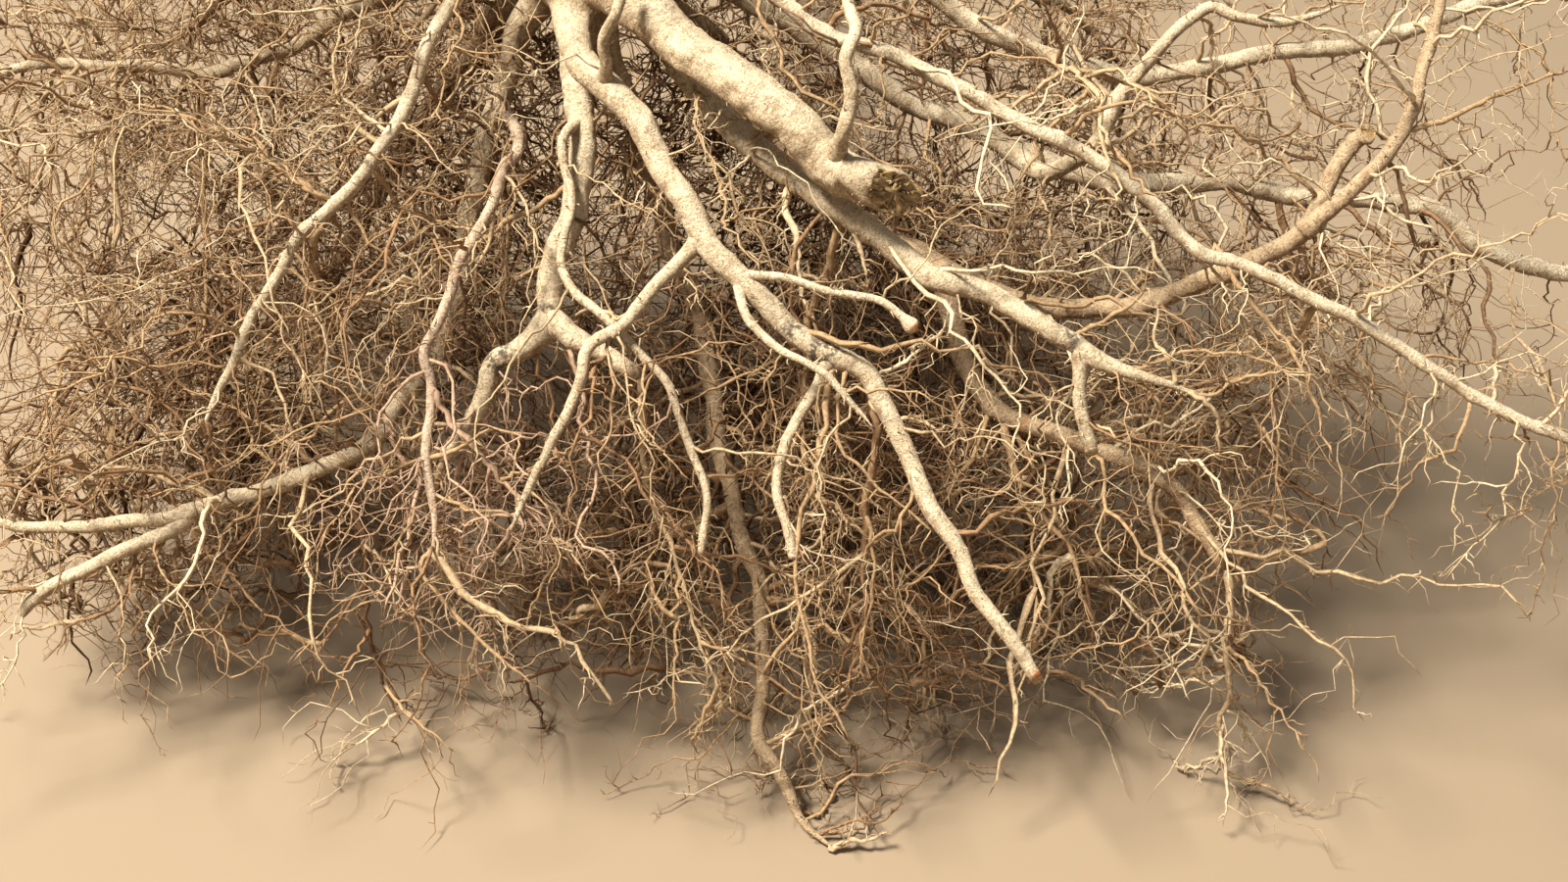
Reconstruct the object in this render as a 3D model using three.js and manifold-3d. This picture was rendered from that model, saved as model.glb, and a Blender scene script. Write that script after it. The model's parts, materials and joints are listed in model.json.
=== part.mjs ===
// A bare-rooted sapling, lifted from the nursery row and laid on its side on level ground.
// The root crown is held up by the stiff lower roots, the main roots splay forward and to both
// sides of it, and the leafless stem slopes back and down until its twigs lie on the ground.
// Millimetres. +X is to the right, +Y runs from the roots to the stem's tip, +Z is up.
import * as THREE from 'three';
import { mergeVertices } from 'three/addons/utils/BufferGeometryUtils.js';
import Module from 'manifold-3d';

// Driving sizes
const CROWN_HEIGHT = 400; // the middle of the root crown above the ground
const CROWN_HALF = [38, 50, 36]; // half the crown's width, length and height
const CROWN_LOBE = { waist: 0.94, swell: 0.12, sharpness: 12 }; // how it bulges under each root
const STEM = {
  width: [45, 13], // diameter where it leaves the crown, and at its tip
  fullness: 0.92,
  bends: [[4, 160, -36], [16, 620, -142], [30, 1150, -256], [40, 1560, -345]],
};
const FLARE = { width: 12, reach: 0.05 }; // the root flare's extra diameter, and its share of the stem
const SEAT = 0.3; // clear gap where one piece meets the next
const RING_SPACING = { limb: 36, stem: 75 }; // between the facet rings
const FACETS = { fewest: 5.4, perMillimetre: 0.12 }; // sides of a root's tube, by its diameter
const WANDER = { size: 2.6, fadeIn: 60, slow: 21, quick: 9, slowShare: 0.65 }; // waves in all wood
const GROUND_SOFTNESS = 6; // how gently wood bends onto the ground

// The looks of the four finishes
const FINISHES = {
  root_bark: { color: 0xc9a87c, roughness: 0.9 },
  stem_bark: { color: 0xa89a86, roughness: 0.8 },
  rootlets: { color: 0xb08a5e, roughness: 0.95 },
  twigs: { color: 0x8f7a63, roughness: 0.85 },
};

// Every place below is [right, back, up] from the middle of the crown. A limb runs from the
// crown, or from a share of another limb's length, through its bends to its cut or broken tip,
// and tapers between two diameters. A fullness over 1 keeps it thick for longer.
const ROOTS = {
  root_front_long: {
    width: [17.5, 6.8],
    bends: [[4, -63, -32], [27, -91, -46], [70, -149, -89], [90, -166, -106], [112, -180, -123],
      [134, -191, -137], [154, -197, -146], [164, -208, -158], [192, -254, -199], [213, -284, -224],
      [242, -314, -249]],
  },
  root_thick_stub: {
    width: [25, 23.5],
    bends: [[34, -63, -4], [56, -83, -12], [79, -106, -22], [101, -119, -32], [119, -128, -42],
      [136, -136, -53], [169, -155, -63]],
  },
  root_down: {
    width: [17, 13.5],
    bends: [[1, -36, -40], [2, -65, -65], [1, -87, -85], [-2, -111, -105], [-8, -131, -122],
      [-11, -153, -142]],
  },
  root_right_low: {
    width: [16, 7.5],
    fullness: 2,
    bends: [[48, -46, -40], [87, -85, -64], [122, -118, -81], [162, -143, -98], [194, -161, -111],
      [215, -165, -115], [250, -182, -130], [272, -193, -138], [295, -200, -143], [323, -206, -149]],
  },
  root_right_long: {
    width: [8.8, 6.2],
    bends: [[55, -39, 19], [106, -62, 1], [134, -72, -13], [165, -84, -24], [248, -114, -51],
      [271, -124, -61], [298, -141, -79], [323, -155, -95], [354, -163, -102], [419, -187, -129],
      [491, -214, -161], [536, -230, -180]],
  },
  root_right_rear: {
    width: [14.5, 9.5],
    bends: [[65, 5, -72], [140, -45, -132], [213, -92, -160], [271, -111, -164], [315, -120, -152],
      [370, -115, -128], [393, -106, -110], [412, -83, -83], [427, -74, -73]],
  },
  root_right_far: {
    width: [14, 10],
    bends: [[68, 37, -38], [170, 20, -98], [255, -7, -131], [312, -16, -143], [369, -16, -145],
      [484, -26, -156], [521, -40, -171], [546, -47, -179], [584, -49, -182]],
  },
  root_right_top: {
    width: [13.5, 8],
    bends: [[80, 47, 12], [167, 36, -29], [240, 16, -68], [297, 5, -86], [342, 10, -82], [388, 15, -78],
      [427, 17, -75], [471, 25, -64], [516, 33, -54], [579, 39, -45]],
  },
  root_left_low: {
    width: [15, 7],
    bends: [[-48, -8, -81], [-78, -91, -180], [-106, -136, -221], [-138, -156, -236],
      [-199, -182, -245], [-226, -198, -252], [-259, -212, -259], [-285, -222, -266], [-304, -236, -280]],
  },
  root_left_sweep: {
    width: [9.5, 4.8],
    bends: [[-46, -28, 2], [-63, -52, -15], [-81, -74, -39], [-110, -106, -78], [-124, -118, -94],
      [-147, -134, -115], [-173, -154, -146], [-189, -173, -175], [-194, -185, -191]],
  },
  root_left_far: {
    width: [13, 5],
    bends: [[-66, 24, -24], [-117, 28, -48], [-170, 21, -71], [-201, 13, -81], [-234, 7, -85],
      [-315, 12, -78], [-338, 7, -83], [-364, 2, -91]],
  },
  root_tap: {
    width: [15, 6.5],
    bends: [[18, -18, -72], [62, -72, -204], [83, -156, -274], [98, -193, -304], [101, -215, -321],
      [96, -250, -353], [105, -266, -370], [118, -280, -387], [139, -300, -410]],
  },
  root_up_left: {
    width: [13, 5],
    bends: [[-50, 5, 42], [-140, -12, 108], [-238, -22, 128], [-322, -52, 100]],
  },
  root_up_right: {
    width: [15, 6],
    bends: [[45, 12, 48], [135, 28, 112], [232, 22, 148], [312, 58, 132]],
  },
  root_prop_left: {
    width: [17, 8],
    bends: [[-48, 36, -58], [-125, 92, -175], [-200, 148, -305], [-262, 190, -394], [-318, 236, -412]],
  },
  root_prop_right: {
    width: [17, 8],
    bends: [[44, 46, -58], [118, 104, -182], [192, 160, -312], [258, 204, -394], [312, 252, -412]],
  },
  root_back_left: {
    width: [12, 5],
    bends: [[-64, 46, 6], [-162, 92, -36], [-262, 122, -112], [-342, 172, -188]],
  },
  root_back_right: {
    width: [12, 5],
    bends: [[56, 66, 30], [172, 116, -18], [262, 152, -98], [332, 202, -172]],
  },
};

const FORKS = {
  root_down_left: {
    from: ['root_down', 0.99],
    width: [11.5, 8.5],
    bends: [[-23, -161, -151], [-33, -166, -156], [-43, -168, -161], [-50, -177, -185],
      [-56, -183, -196], [-71, -189, -208]],
  },
  root_down_right: {
    from: ['root_down', 0.99],
    width: [11, 8.5],
    bends: [[0, -162, -146], [12, -168, -149], [25, -175, -153], [38, -181, -159]],
  },
  root_slim_front: {
    from: ['root_down', 0.46],
    width: [5.4, 4.2],
    bends: [[-6, -91, -68], [-5, -105, -78], [-1, -120, -89], [-2, -143, -108], [4, -158, -117],
      [16, -169, -124], [38, -186, -143], [51, -195, -156], [62, -207, -171], [70, -220, -188],
      [73, -231, -201], [68, -249, -222]],
  },
  root_cross: {
    from: ['root_front_long', 0.41],
    width: [7.6, 5],
    bends: [[56, -158, -104], [45, -167, -111], [34, -179, -120], [18, -188, -128], [9, -195, -136],
      [5, -205, -149], [-9, -219, -171], [-13, -226, -182], [-19, -232, -193], [-28, -240, -209]],
  },
  root_front_curl: {
    from: ['root_front_long', 0.58],
    width: [7, 4.8],
    bends: [[128, -198, -152], [119, -209, -162], [110, -222, -175], [106, -233, -186],
      [110, -246, -199], [116, -261, -215]],
  },
  root_front_wisp: {
    from: ['root_front_long', 0.46],
    width: [5, 3.4],
    bends: [[90, -181, -113], [97, -190, -119], [121, -206, -131], [137, -214, -137], [151, -222, -147],
      [157, -228, -154]],
  },
  root_front_knob: {
    from: ['root_front_long', 0.46],
    width: [4.6, 4],
    bends: [[103, -171, -101], [117, -175, -100], [151, -183, -106], [162, -185, -110],
      [178, -192, -120]],
  },
  root_front_riser: {
    from: ['root_front_long', 0.2],
    width: [6.4, 5],
    bends: [[21, -89, -26], [20, -90, -10], [27, -89, 5], [32, -81, 21]],
  },
  root_slim_left: {
    from: ['root_left_low', 0.2],
    width: [6.8, 5],
    bends: [[-28, -84, -79], [-37, -98, -86], [-51, -129, -101], [-61, -145, -113], [-64, -156, -123],
      [-74, -177, -147], [-72, -189, -162], [-74, -215, -193], [-73, -228, -208], [-71, -241, -226]],
  },
  root_left_fork: {
    from: ['root_left_low', 0.79],
    width: [8, 6.2],
    bends: [[-232, -194, -249], [-264, -194, -247], [-296, -195, -248], [-318, -192, -246],
      [-338, -187, -243]],
  },
  root_riser: {
    from: ['root_thick_stub', 0.85],
    width: [7.6, 6],
    bends: [[142, -150, -29], [144, -145, -16], [143, -140, -8], [141, -133, 0], [146, -122, 10],
      [142, -109, 19], [140, -91, 33]],
  },
  root_right_stub: {
    from: ['root_right_low', 0.85],
    width: [7.6, 7],
    bends: [[264, -198, -151], [267, -206, -166], [272, -217, -187]],
  },
  root_right_fork: {
    from: ['root_right_rear', 0.88],
    width: [9, 6],
    bends: [[403, -109, -97], [413, -105, -88], [428, -98, -76], [437, -88, -63], [445, -79, -50],
      [455, -53, -19], [460, -38, -2]],
  },
  root_right_under: {
    from: ['root_right_rear', 0.5],
    width: [12, 8],
    bends: [[213, -122, -195], [226, -146, -204], [251, -162, -209], [282, -174, -214],
      [303, -181, -218], [325, -193, -229], [338, -207, -243], [351, -221, -260]],
  },
  root_right_rise: {
    from: ['root_right_far', 0.45],
    width: [11, 4.5],
    bends: [[259, -27, -129], [275, -42, -110], [286, -46, -92], [299, -38, -71], [330, -23, -40],
      [344, -18, -31], [358, -23, -34], [394, -27, -32], [413, -24, -26]],
  },
};

const BRANCHES = {
  branch_left: { from: ['stem', 0.7], width: [10, 5], bends: [[-10, 1280, -262], [-95, 1430, -318]] },
  branch_right: { from: ['stem', 0.79], width: [9.5, 5], bends: [[98, 1390, -296], [172, 1520, -332]] },
  branch_up: { from: ['stem', 0.86], width: [9, 4.5], bends: [[38, 1460, -262], [22, 1580, -206]] },
};

// A mass of rootlets or twigs grows from one stem of its own: where it leaves its limb, the way
// it sets out, how far it reaches, how thick its stem is and how many side twigs it may carry.
const mass = (limb, share, out, reach, width, sides) => ({ from: [limb, share], out, reach, width, sides });

const ROOTLET_MASSES = {
  rootlets_right_low: mass('root_right_low', 0.5, [0, -0.25, -1], 205, 5, 8),
  rootlets_front_long: mass('root_front_long', 0.66, [-0.25, -0.3, -1], 190, 5, 8),
  rootlets_down: mass('root_down', 0.62, [-1, -0.35, -0.3], 130, 4.5, 7),
  rootlets_down_left: mass('root_down_left', 1, [-0.3, -0.3, -1], 180, 5, 8),
  rootlets_down_right: mass('root_down_right', 1, [0.35, -0.2, -1], 190, 5, 8),
  rootlets_slim_left: mass('root_slim_left', 0.72, [0.8, -0.5, -0.7], 130, 4, 9),
  rootlets_left_sweep: mass('root_left_sweep', 0.6, [-0.8, -0.3, -0.7], 170, 4.5, 7),
  rootlets_left_low: mass('root_left_low', 0.62, [-0.1, -0.1, -1], 165, 5, 8),
  rootlets_left_far: mass('root_left_far', 0.5, [-0.25, -0.5, -0.7], 220, 5, 8),
  rootlets_tap_left: mass('root_tap', 0.6, [-1, -0.4, -0.45], 190, 5, 8),
  rootlets_tap_right: mass('root_tap', 0.7, [0.9, -0.3, -0.25], 180, 5, 8),
  rootlets_right_under: mass('root_right_under', 0.45, [-0.15, -0.2, -1], 200, 5.5, 8),
  rootlets_right_end: mass('root_right_under', 1, [0.1, -0.3, -1], 140, 5, 7),
  rootlets_right_long: mass('root_right_long', 0.72, [0.1, 0, -1], 170, 4.5, 8),
  rootlets_right_top: mass('root_right_top', 0.48, [0.15, -0.35, 0.35], 170, 6, 8),
  rootlets_right_far: mass('root_right_far', 0.7, [0.15, -0.15, -1], 215, 5.5, 8),
  rootlets_prop_left: mass('root_prop_left', 0.5, [-0.8, 0.3, -0.4], 190, 5, 7),
  rootlets_prop_right: mass('root_prop_right', 0.5, [0.8, 0.3, -0.4], 190, 5, 7),
  rootlets_back_left: mass('root_back_left', 1, [-0.6, 0.3, -0.8], 150, 4.5, 7),
  rootlets_back_right: mass('root_back_right', 1, [0.6, 0.3, -0.8], 150, 4.5, 7),
};

const TWIG_MASSES = {
  twigs_left: mass('branch_left', 1, [-0.45, 0.9, -0.25], 260, 4.2, 6),
  twigs_right: mass('branch_right', 1, [0.4, 0.95, -0.2], 250, 4.2, 6),
  twigs_tip: mass('stem', 1, [-0.1, 1, -0.15], 330, 8, 7),
};

// How each kind grows: steps along a stem and a side twig, how sharply it kinks and droops at
// each step, and a side twig's length and width as shares of its stem's
const ROOTLET_HABIT = { steps: 6, sideSteps: 3, kink: 0.4, droop: 0.18, sideShare: 0.52, sideWidth: 0.55 };
const TWIG_HABIT = { steps: 5, sideSteps: 3, kink: 0.12, droop: 0, sideShare: 0.55, sideWidth: 0.6 };
const SPRAY = {
  firstSide: 0.2, // share of the stem's length before its first side twig
  turn: 137.5, // degrees round the stem from one side twig to the next
  turnSpread: 40,
  splay: 56, // degrees between a side twig and its stem
  splaySpread: 24,
  tipWidth: 0.42, // a twig's tip as a share of its foot
  shortening: 0.4, // how much shorter side twigs are near the stem's tip
  room: 0.8, // a mass keeps within this share of its reach from the middle of its stem
  elbowRoom: 1.2, // least gap to wood that it doesn't grow from
  tries: 40,
};

// Seeded numbers, so that every build grows the same plant
function seeded(seed) {
  let state = seed;
  return () => {
    state = (state * 1664525 + 1013904223) % 4294967296;
    return state / 4294967296;
  };
}

const seedOf = (name) => [...name].reduce((sum, letter) => (sum * 31 + letter.charCodeAt(0)) % 1000003, 7);

const vector = (place) => new THREE.Vector3(...place);

const taper = ([foot, tip], fullness = 1) => (share) => foot + (tip - foot) * share ** fullness;

// Wood that would dip below the ground bends along it instead.
function restOnGround(height, radius) {
  const lowest = radius - CROWN_HEIGHT;
  const over = (height - lowest) / GROUND_SOFTNESS;
  return over > 20 ? height : lowest + GROUND_SOFTNESS * Math.log1p(Math.exp(over));
}

// A limb's centreline: a smooth curve from its start through its bends, cut into equal steps,
// with the small waves of real wood
function centreline(name, start, bends, widthAt, spacing) {
  const curve = new THREE.CatmullRomCurve3([start, ...bends.map(vector)], false, 'catmullrom', 0.5);
  const fine = curve.getPoints(20 * bends.length);
  const distances = [0];
  for (let i = 1; i < fine.length; i++) {
    distances.push(distances[i - 1] + fine[i].distanceTo(fine[i - 1]));
  }
  const length = distances.at(-1);
  const steps = Math.max(3, Math.round(length / spacing));
  const random = seeded(seedOf(name));
  const phases = Array.from({ length: 6 }, () => random() * 2 * Math.PI);
  const points = [];
  let span = 0;
  for (let step = 0; step <= steps; step++) {
    const distance = (length * step) / steps;
    while (span < fine.length - 2 && distances[span + 1] < distance) span++;
    const share = (distance - distances[span]) / (distances[span + 1] - distances[span]);
    const wave = (axis) =>
      WANDER.slowShare * Math.sin(distance / WANDER.slow + phases[axis])
      + (1 - WANDER.slowShare) * Math.sin(distance / WANDER.quick + phases[axis + 3]);
    const size = WANDER.size * Math.min(1, distance / WANDER.fadeIn);
    const point = fine[span].clone().lerp(fine[span + 1], share);
    point.add(new THREE.Vector3(wave(0), wave(1), wave(2)).multiplyScalar(size));
    point.z = restOnGround(point.z, widthAt(step / steps) / 2);
    points.push(point);
  }
  return points;
}

// A closed tube along a centreline: a straight cylinder whose rings are carried onto the line
function tube(points, widthAt, sides, extra = 0) {
  const steps = points.length - 1;
  const tangents = points.map((_, i) =>
    points[Math.min(i + 1, steps)].clone().sub(points[Math.max(i - 1, 0)]).normalize());
  const normals = [];
  for (const tangent of tangents) {
    const last = normals.at(-1) ?? new THREE.Vector3(-tangent.z, 0.3, tangent.x);
    normals.push(last.clone().addScaledVector(tangent, -last.dot(tangent)).normalize());
  }
  const straight = new THREE.CylinderGeometry(1, 1, 1, sides, steps);
  const places = straight.getAttribute('position');
  for (let i = 0; i < places.count; i++) {
    const ring = Math.round((0.5 - places.getY(i)) * steps);
    const radius = widthAt(ring / steps) / 2 + extra;
    const across = tangents[ring].clone().cross(normals[ring]);
    const place = points[ring].clone()
      .addScaledVector(normals[ring], radius * places.getX(i))
      .addScaledVector(across, radius * places.getZ(i));
    places.setXYZ(i, place.x, place.y, place.z);
  }
  return straight;
}

// The root crown: an egg-shaped burl that bulges under each of its main roots
function crown(extra = 0) {
  const burl = new THREE.SphereGeometry(1, 15, 10);
  const places = burl.getAttribute('position');
  const lobes = Object.values(ROOTS).map((root) => vector(root.bends[0]).normalize());
  for (let i = 0; i < places.count; i++) {
    const way = new THREE.Vector3().fromBufferAttribute(places, i).normalize();
    const nearest = lobes.reduce((most, axis) => Math.max(most, axis.dot(way)), 0);
    const swell = CROWN_LOBE.waist + CROWN_LOBE.swell * nearest ** CROWN_LOBE.sharpness;
    const place = way.clone().multiply(vector(CROWN_HALF)).multiplyScalar(swell);
    place.addScaledVector(way, extra);
    places.setXYZ(i, place.x, place.y, place.z);
  }
  return burl;
}

// Joining and cutting work on closed meshes whose corners are shared.
const wasm = await Module();
wasm.setup();

function solidOf(geometry) {
  const bare = new THREE.BufferGeometry();
  bare.setAttribute('position', geometry.getAttribute('position'));
  bare.setIndex(geometry.getIndex());
  const merged = mergeVertices(bare, 1e-4);
  return new wasm.Manifold(new wasm.Mesh({
    numProp: 3,
    vertProperties: merged.getAttribute('position').array,
    triVerts: new Uint32Array(merged.getIndex().array),
  }));
}

function geometryOf(solid) {
  const { vertProperties, triVerts } = solid.getMesh();
  const geometry = new THREE.BufferGeometry();
  geometry.setAttribute('position', new THREE.BufferAttribute(vertProperties, 3));
  geometry.setIndex(new THREE.BufferAttribute(triVerts, 1));
  geometry.computeVertexNormals();
  return geometry;
}

const largestPiece = (solid) => solid.decompose().sort((a, b) => b.volume() - a.volume())[0];

const plant = new THREE.Group();
const limbs = new Map(); // each limb's centreline, and its solid grown by SEAT to cut others clear
const stretches = []; // every stretch of wood there is, as { owner, line, radius }

function addMesh(name, solid, finish) {
  const material = new THREE.MeshStandardMaterial({ ...FINISHES[finish], metalness: 0 });
  const mesh = new THREE.Mesh(geometryOf(solid), material);
  mesh.name = name;
  plant.add(mesh);
}

function recordStretches(owner, points, widthAt) {
  const steps = points.length - 1;
  for (let i = 0; i < steps; i++) {
    const line = new THREE.Line3(points[i], points[i + 1]);
    stretches.push({ owner, line, radius: widthAt(i / steps) / 2 });
  }
}

function pointAlong(points, share) {
  const place = share * (points.length - 1);
  const index = Math.min(points.length - 2, Math.floor(place));
  return points[index].clone().lerp(points[index + 1], place - index);
}

// The stem, with its root flare and the crown in one piece
function addStem() {
  const bare = taper(STEM.width, STEM.fullness);
  const widthAt = (share) => bare(share) + FLARE.width * Math.exp(-share / FLARE.reach);
  const points = centreline('stem', new THREE.Vector3(), STEM.bends, widthAt, RING_SPACING.stem);
  const whole = (extra) => solidOf(tube(points, widthAt, 12, extra)).add(solidOf(crown(extra)));
  limbs.set('stem', { points, grown: whole(SEAT) });
  recordStretches('stem', points, widthAt);
  addMesh('stem', whole(0), 'stem_bark');
}

// One tapering limb, cut back to SEAT clear of the wood that is already there
function addLimb(name, spec, sides, finish) {
  const widthAt = taper(spec.width, spec.fullness);
  const [parent, share] = spec.from ?? [];
  const start = parent ? pointAlong(limbs.get(parent).points, share) : new THREE.Vector3();
  const points = centreline(name, start, spec.bends, widthAt, RING_SPACING.limb);
  let solid = solidOf(tube(points, widthAt, sides));
  for (const other of limbs.values()) solid = solid.subtract(other.grown);
  limbs.set(name, { points, grown: solidOf(tube(points, widthAt, sides, SEAT)) });
  recordStretches(name, points, widthAt);
  addMesh(name, largestPiece(solid), finish);
}

// One twig: it sets out on a heading, and kinks and droops a little at each step
function twig(random, start, heading, length, width, steps, habit) {
  const points = [start.clone()];
  const way = heading.clone().normalize();
  const widthAt = taper([width, width * SPRAY.tipWidth]);
  for (let step = 1; step <= steps; step++) {
    const kink = new THREE.Vector3(random() - 0.5, random() - 0.5, random() - 0.5);
    way.addScaledVector(kink, 2 * habit.kink);
    way.z -= habit.droop;
    way.normalize();
    const next = points.at(-1).clone().addScaledVector(way, length / steps);
    next.z = restOnGround(next.z, widthAt(step / steps) / 2);
    points.push(next);
  }
  return { points, widthAt };
}

// Whether a twig comes too near wood that it doesn't grow from, past its sunken first step
function isCrowded({ points, widthAt }, owner) {
  const samples = 4 * (points.length - 1);
  const near = new THREE.Vector3();
  for (let sample = 4; sample <= samples; sample++) {
    const place = pointAlong(points, sample / samples);
    const room = widthAt(sample / samples) / 2 + SPRAY.elbowRoom;
    const touches = (stretch) => stretch.owner !== owner
      && stretch.line.closestPointToPoint(place, true, near).distanceTo(place) < stretch.radius + room;
    if (stretches.some(touches)) return true;
  }
  return false;
}

// A side twig of a mass: it leaves the stem at a share of its length, turned on round it from
// the last one and splayed out from it
function sideTwig(random, stem, spec, side, habit) {
  const share = SPRAY.firstSide + ((1 - SPRAY.firstSide) * (side + 0.6 * random())) / spec.sides;
  const index = Math.min(habit.steps - 1, Math.floor(share * habit.steps));
  const ahead = stem.points[index + 1].clone().sub(stem.points[index]).normalize();
  const aside = new THREE.Vector3(-ahead.z, 0.3, ahead.x).cross(ahead).normalize();
  const turn = side * SPRAY.turn + SPRAY.turnSpread * random();
  aside.applyAxisAngle(ahead, THREE.MathUtils.degToRad(turn));
  const splay = THREE.MathUtils.degToRad(SPRAY.splay + SPRAY.splaySpread * (random() - 0.5));
  const heading = ahead.multiplyScalar(Math.cos(splay)).addScaledVector(aside, Math.sin(splay));
  const length = spec.reach * habit.sideShare * (1 - SPRAY.shortening * share) * (0.75 + 0.5 * random());
  const width = spec.width * habit.sideWidth;
  return twig(random, pointAlong(stem.points, share), heading, length, width, habit.sideSteps, habit);
}

// A mass: one stem, and side twigs in a spiral round it, less those that would leave the mass's
// own room or touch other wood
function addMass(name, spec, habit, finish) {
  const random = seeded(seedOf(name));
  const [parent, share] = spec.from;
  const start = pointAlong(limbs.get(parent).points, share);
  const newStem = () => twig(random, start, vector(spec.out), spec.reach, spec.width, habit.steps, habit);
  let stem = newStem();
  for (let attempt = 1; attempt < SPRAY.tries && isCrowded(stem, parent); attempt++) stem = newStem();
  recordStretches(name, stem.points, stem.widthAt);
  const parts = [stem];
  const middle = stem.points[Math.floor(habit.steps / 2)];
  for (let side = 0; side < spec.sides; side++) {
    const path = sideTwig(random, stem, spec, side, habit);
    const strays = path.points.some((point) => point.distanceTo(middle) > SPRAY.room * spec.reach);
    if (strays || isCrowded(path, name)) continue;
    recordStretches(name, path.points, path.widthAt);
    parts.push(path);
  }
  const tubes = parts.map((path, i) => solidOf(tube(path.points, path.widthAt, i ? 3 : 4)));
  const fused = wasm.Manifold.union(tubes).subtract(limbs.get(parent).grown);
  addMesh(name, largestPiece(fused), finish);
}

addStem();
for (const [name, spec] of Object.entries({ ...ROOTS, ...FORKS })) {
  addLimb(name, spec, Math.round(FACETS.fewest + FACETS.perMillimetre * spec.width[0]), 'root_bark');
}
for (const [name, spec] of Object.entries(BRANCHES)) addLimb(name, spec, 6, 'stem_bark');
for (const [name, spec] of Object.entries(ROOTLET_MASSES)) addMass(name, spec, ROOTLET_HABIT, 'rootlets');
for (const [name, spec] of Object.entries(TWIG_MASSES)) addMass(name, spec, TWIG_HABIT, 'twigs');

// The origin is on the ground, under the middle of the whole plant.
const bounds = new THREE.Box3().setFromObject(plant);
const middle = bounds.getCenter(new THREE.Vector3());
plant.position.set(-middle.x, -middle.y, -bounds.min.z);

export default plant;
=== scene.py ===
# %% [markdown]
# # A bare-rooted sapling
# A young tree was lifted bare from its nursery row and laid on its side. Its
# stiff lower roots prop the root crown off the ground, the main roots splay towards the camera,
# and the leafless stem slopes away behind them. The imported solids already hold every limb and
# every mass of rootlets at its true size and place. This script dresses them: it wraps bark
# round the limbs, gives them cut and torn ends, and grows the thousands of rootlets that a
# solid model can't afford.
#
# The frame is loaded first, because everything that follows is measured against it.

import json
import math

import bmesh
import bpy
import numpy as np
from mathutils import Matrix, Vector, kdtree, noise

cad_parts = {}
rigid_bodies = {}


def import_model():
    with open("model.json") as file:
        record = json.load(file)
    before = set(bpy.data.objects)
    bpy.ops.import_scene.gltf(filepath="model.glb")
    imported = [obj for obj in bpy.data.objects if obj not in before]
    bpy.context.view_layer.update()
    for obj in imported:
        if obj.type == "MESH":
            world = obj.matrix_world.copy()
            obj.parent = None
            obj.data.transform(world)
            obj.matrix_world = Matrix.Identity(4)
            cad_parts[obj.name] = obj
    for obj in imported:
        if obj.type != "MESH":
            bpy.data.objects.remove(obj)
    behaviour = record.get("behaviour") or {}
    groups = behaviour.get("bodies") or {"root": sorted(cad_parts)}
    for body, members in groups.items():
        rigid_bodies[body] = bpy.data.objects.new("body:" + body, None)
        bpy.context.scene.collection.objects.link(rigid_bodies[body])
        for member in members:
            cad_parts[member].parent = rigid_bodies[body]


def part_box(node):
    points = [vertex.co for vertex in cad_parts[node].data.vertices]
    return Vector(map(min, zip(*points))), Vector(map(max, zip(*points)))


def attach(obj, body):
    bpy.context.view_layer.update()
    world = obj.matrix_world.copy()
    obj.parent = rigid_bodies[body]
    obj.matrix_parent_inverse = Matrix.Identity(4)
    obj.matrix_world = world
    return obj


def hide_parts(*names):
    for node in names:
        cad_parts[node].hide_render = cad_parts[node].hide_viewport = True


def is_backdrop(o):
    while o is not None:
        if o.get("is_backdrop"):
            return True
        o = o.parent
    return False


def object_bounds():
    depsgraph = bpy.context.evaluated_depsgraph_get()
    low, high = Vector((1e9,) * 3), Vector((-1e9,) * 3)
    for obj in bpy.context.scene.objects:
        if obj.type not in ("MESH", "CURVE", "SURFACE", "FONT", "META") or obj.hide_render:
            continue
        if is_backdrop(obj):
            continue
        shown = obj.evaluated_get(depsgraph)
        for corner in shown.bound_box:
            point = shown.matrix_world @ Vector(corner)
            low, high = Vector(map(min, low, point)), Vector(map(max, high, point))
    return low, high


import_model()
cad_low, cad_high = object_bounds()
print("solids span", [round(side, 3) for side in cad_high - cad_low], "m")

# %% [markdown]
# ## The plant's named sizes
# The limbs here are the same limbs as in the part's source, in millimetres from the middle of
# the root crown, as (right, back, up). A limb runs from the crown, or from a share of another
# limb's length, through its bends to its tip, and tapers between two diameters. Writing the
# sizes again, rather than reading the solids' corners, lets the bark be wrapped round smooth
# centrelines, with as many rings as the eye needs.

# %% Sizes of the stem and the crown
CROWN_HEIGHT = 400
CROWN_HALF = np.array([38.0, 50.0, 36.0])
CROWN_LOBE = {"waist": 0.94, "swell": 0.12, "sharpness": 12}
FLARE = {"width": 12, "reach": 0.05}
STEM_WIDTH = (45, 13)
STEM_FULLNESS = 0.92
STEM_BENDS = [(4, 160, -36), (16, 620, -142), (30, 1150, -256), (40, 1560, -345)]
GROUND_SOFTNESS = 6


def limb(width, *bends, fullness=1.0, parent=None, share=0.0):
    """One tapering limb: its two diameters, its bends, and where it leaves its parent."""
    return {"width": width, "bends": bends, "fullness": fullness, "parent": parent, "share": share}


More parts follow.
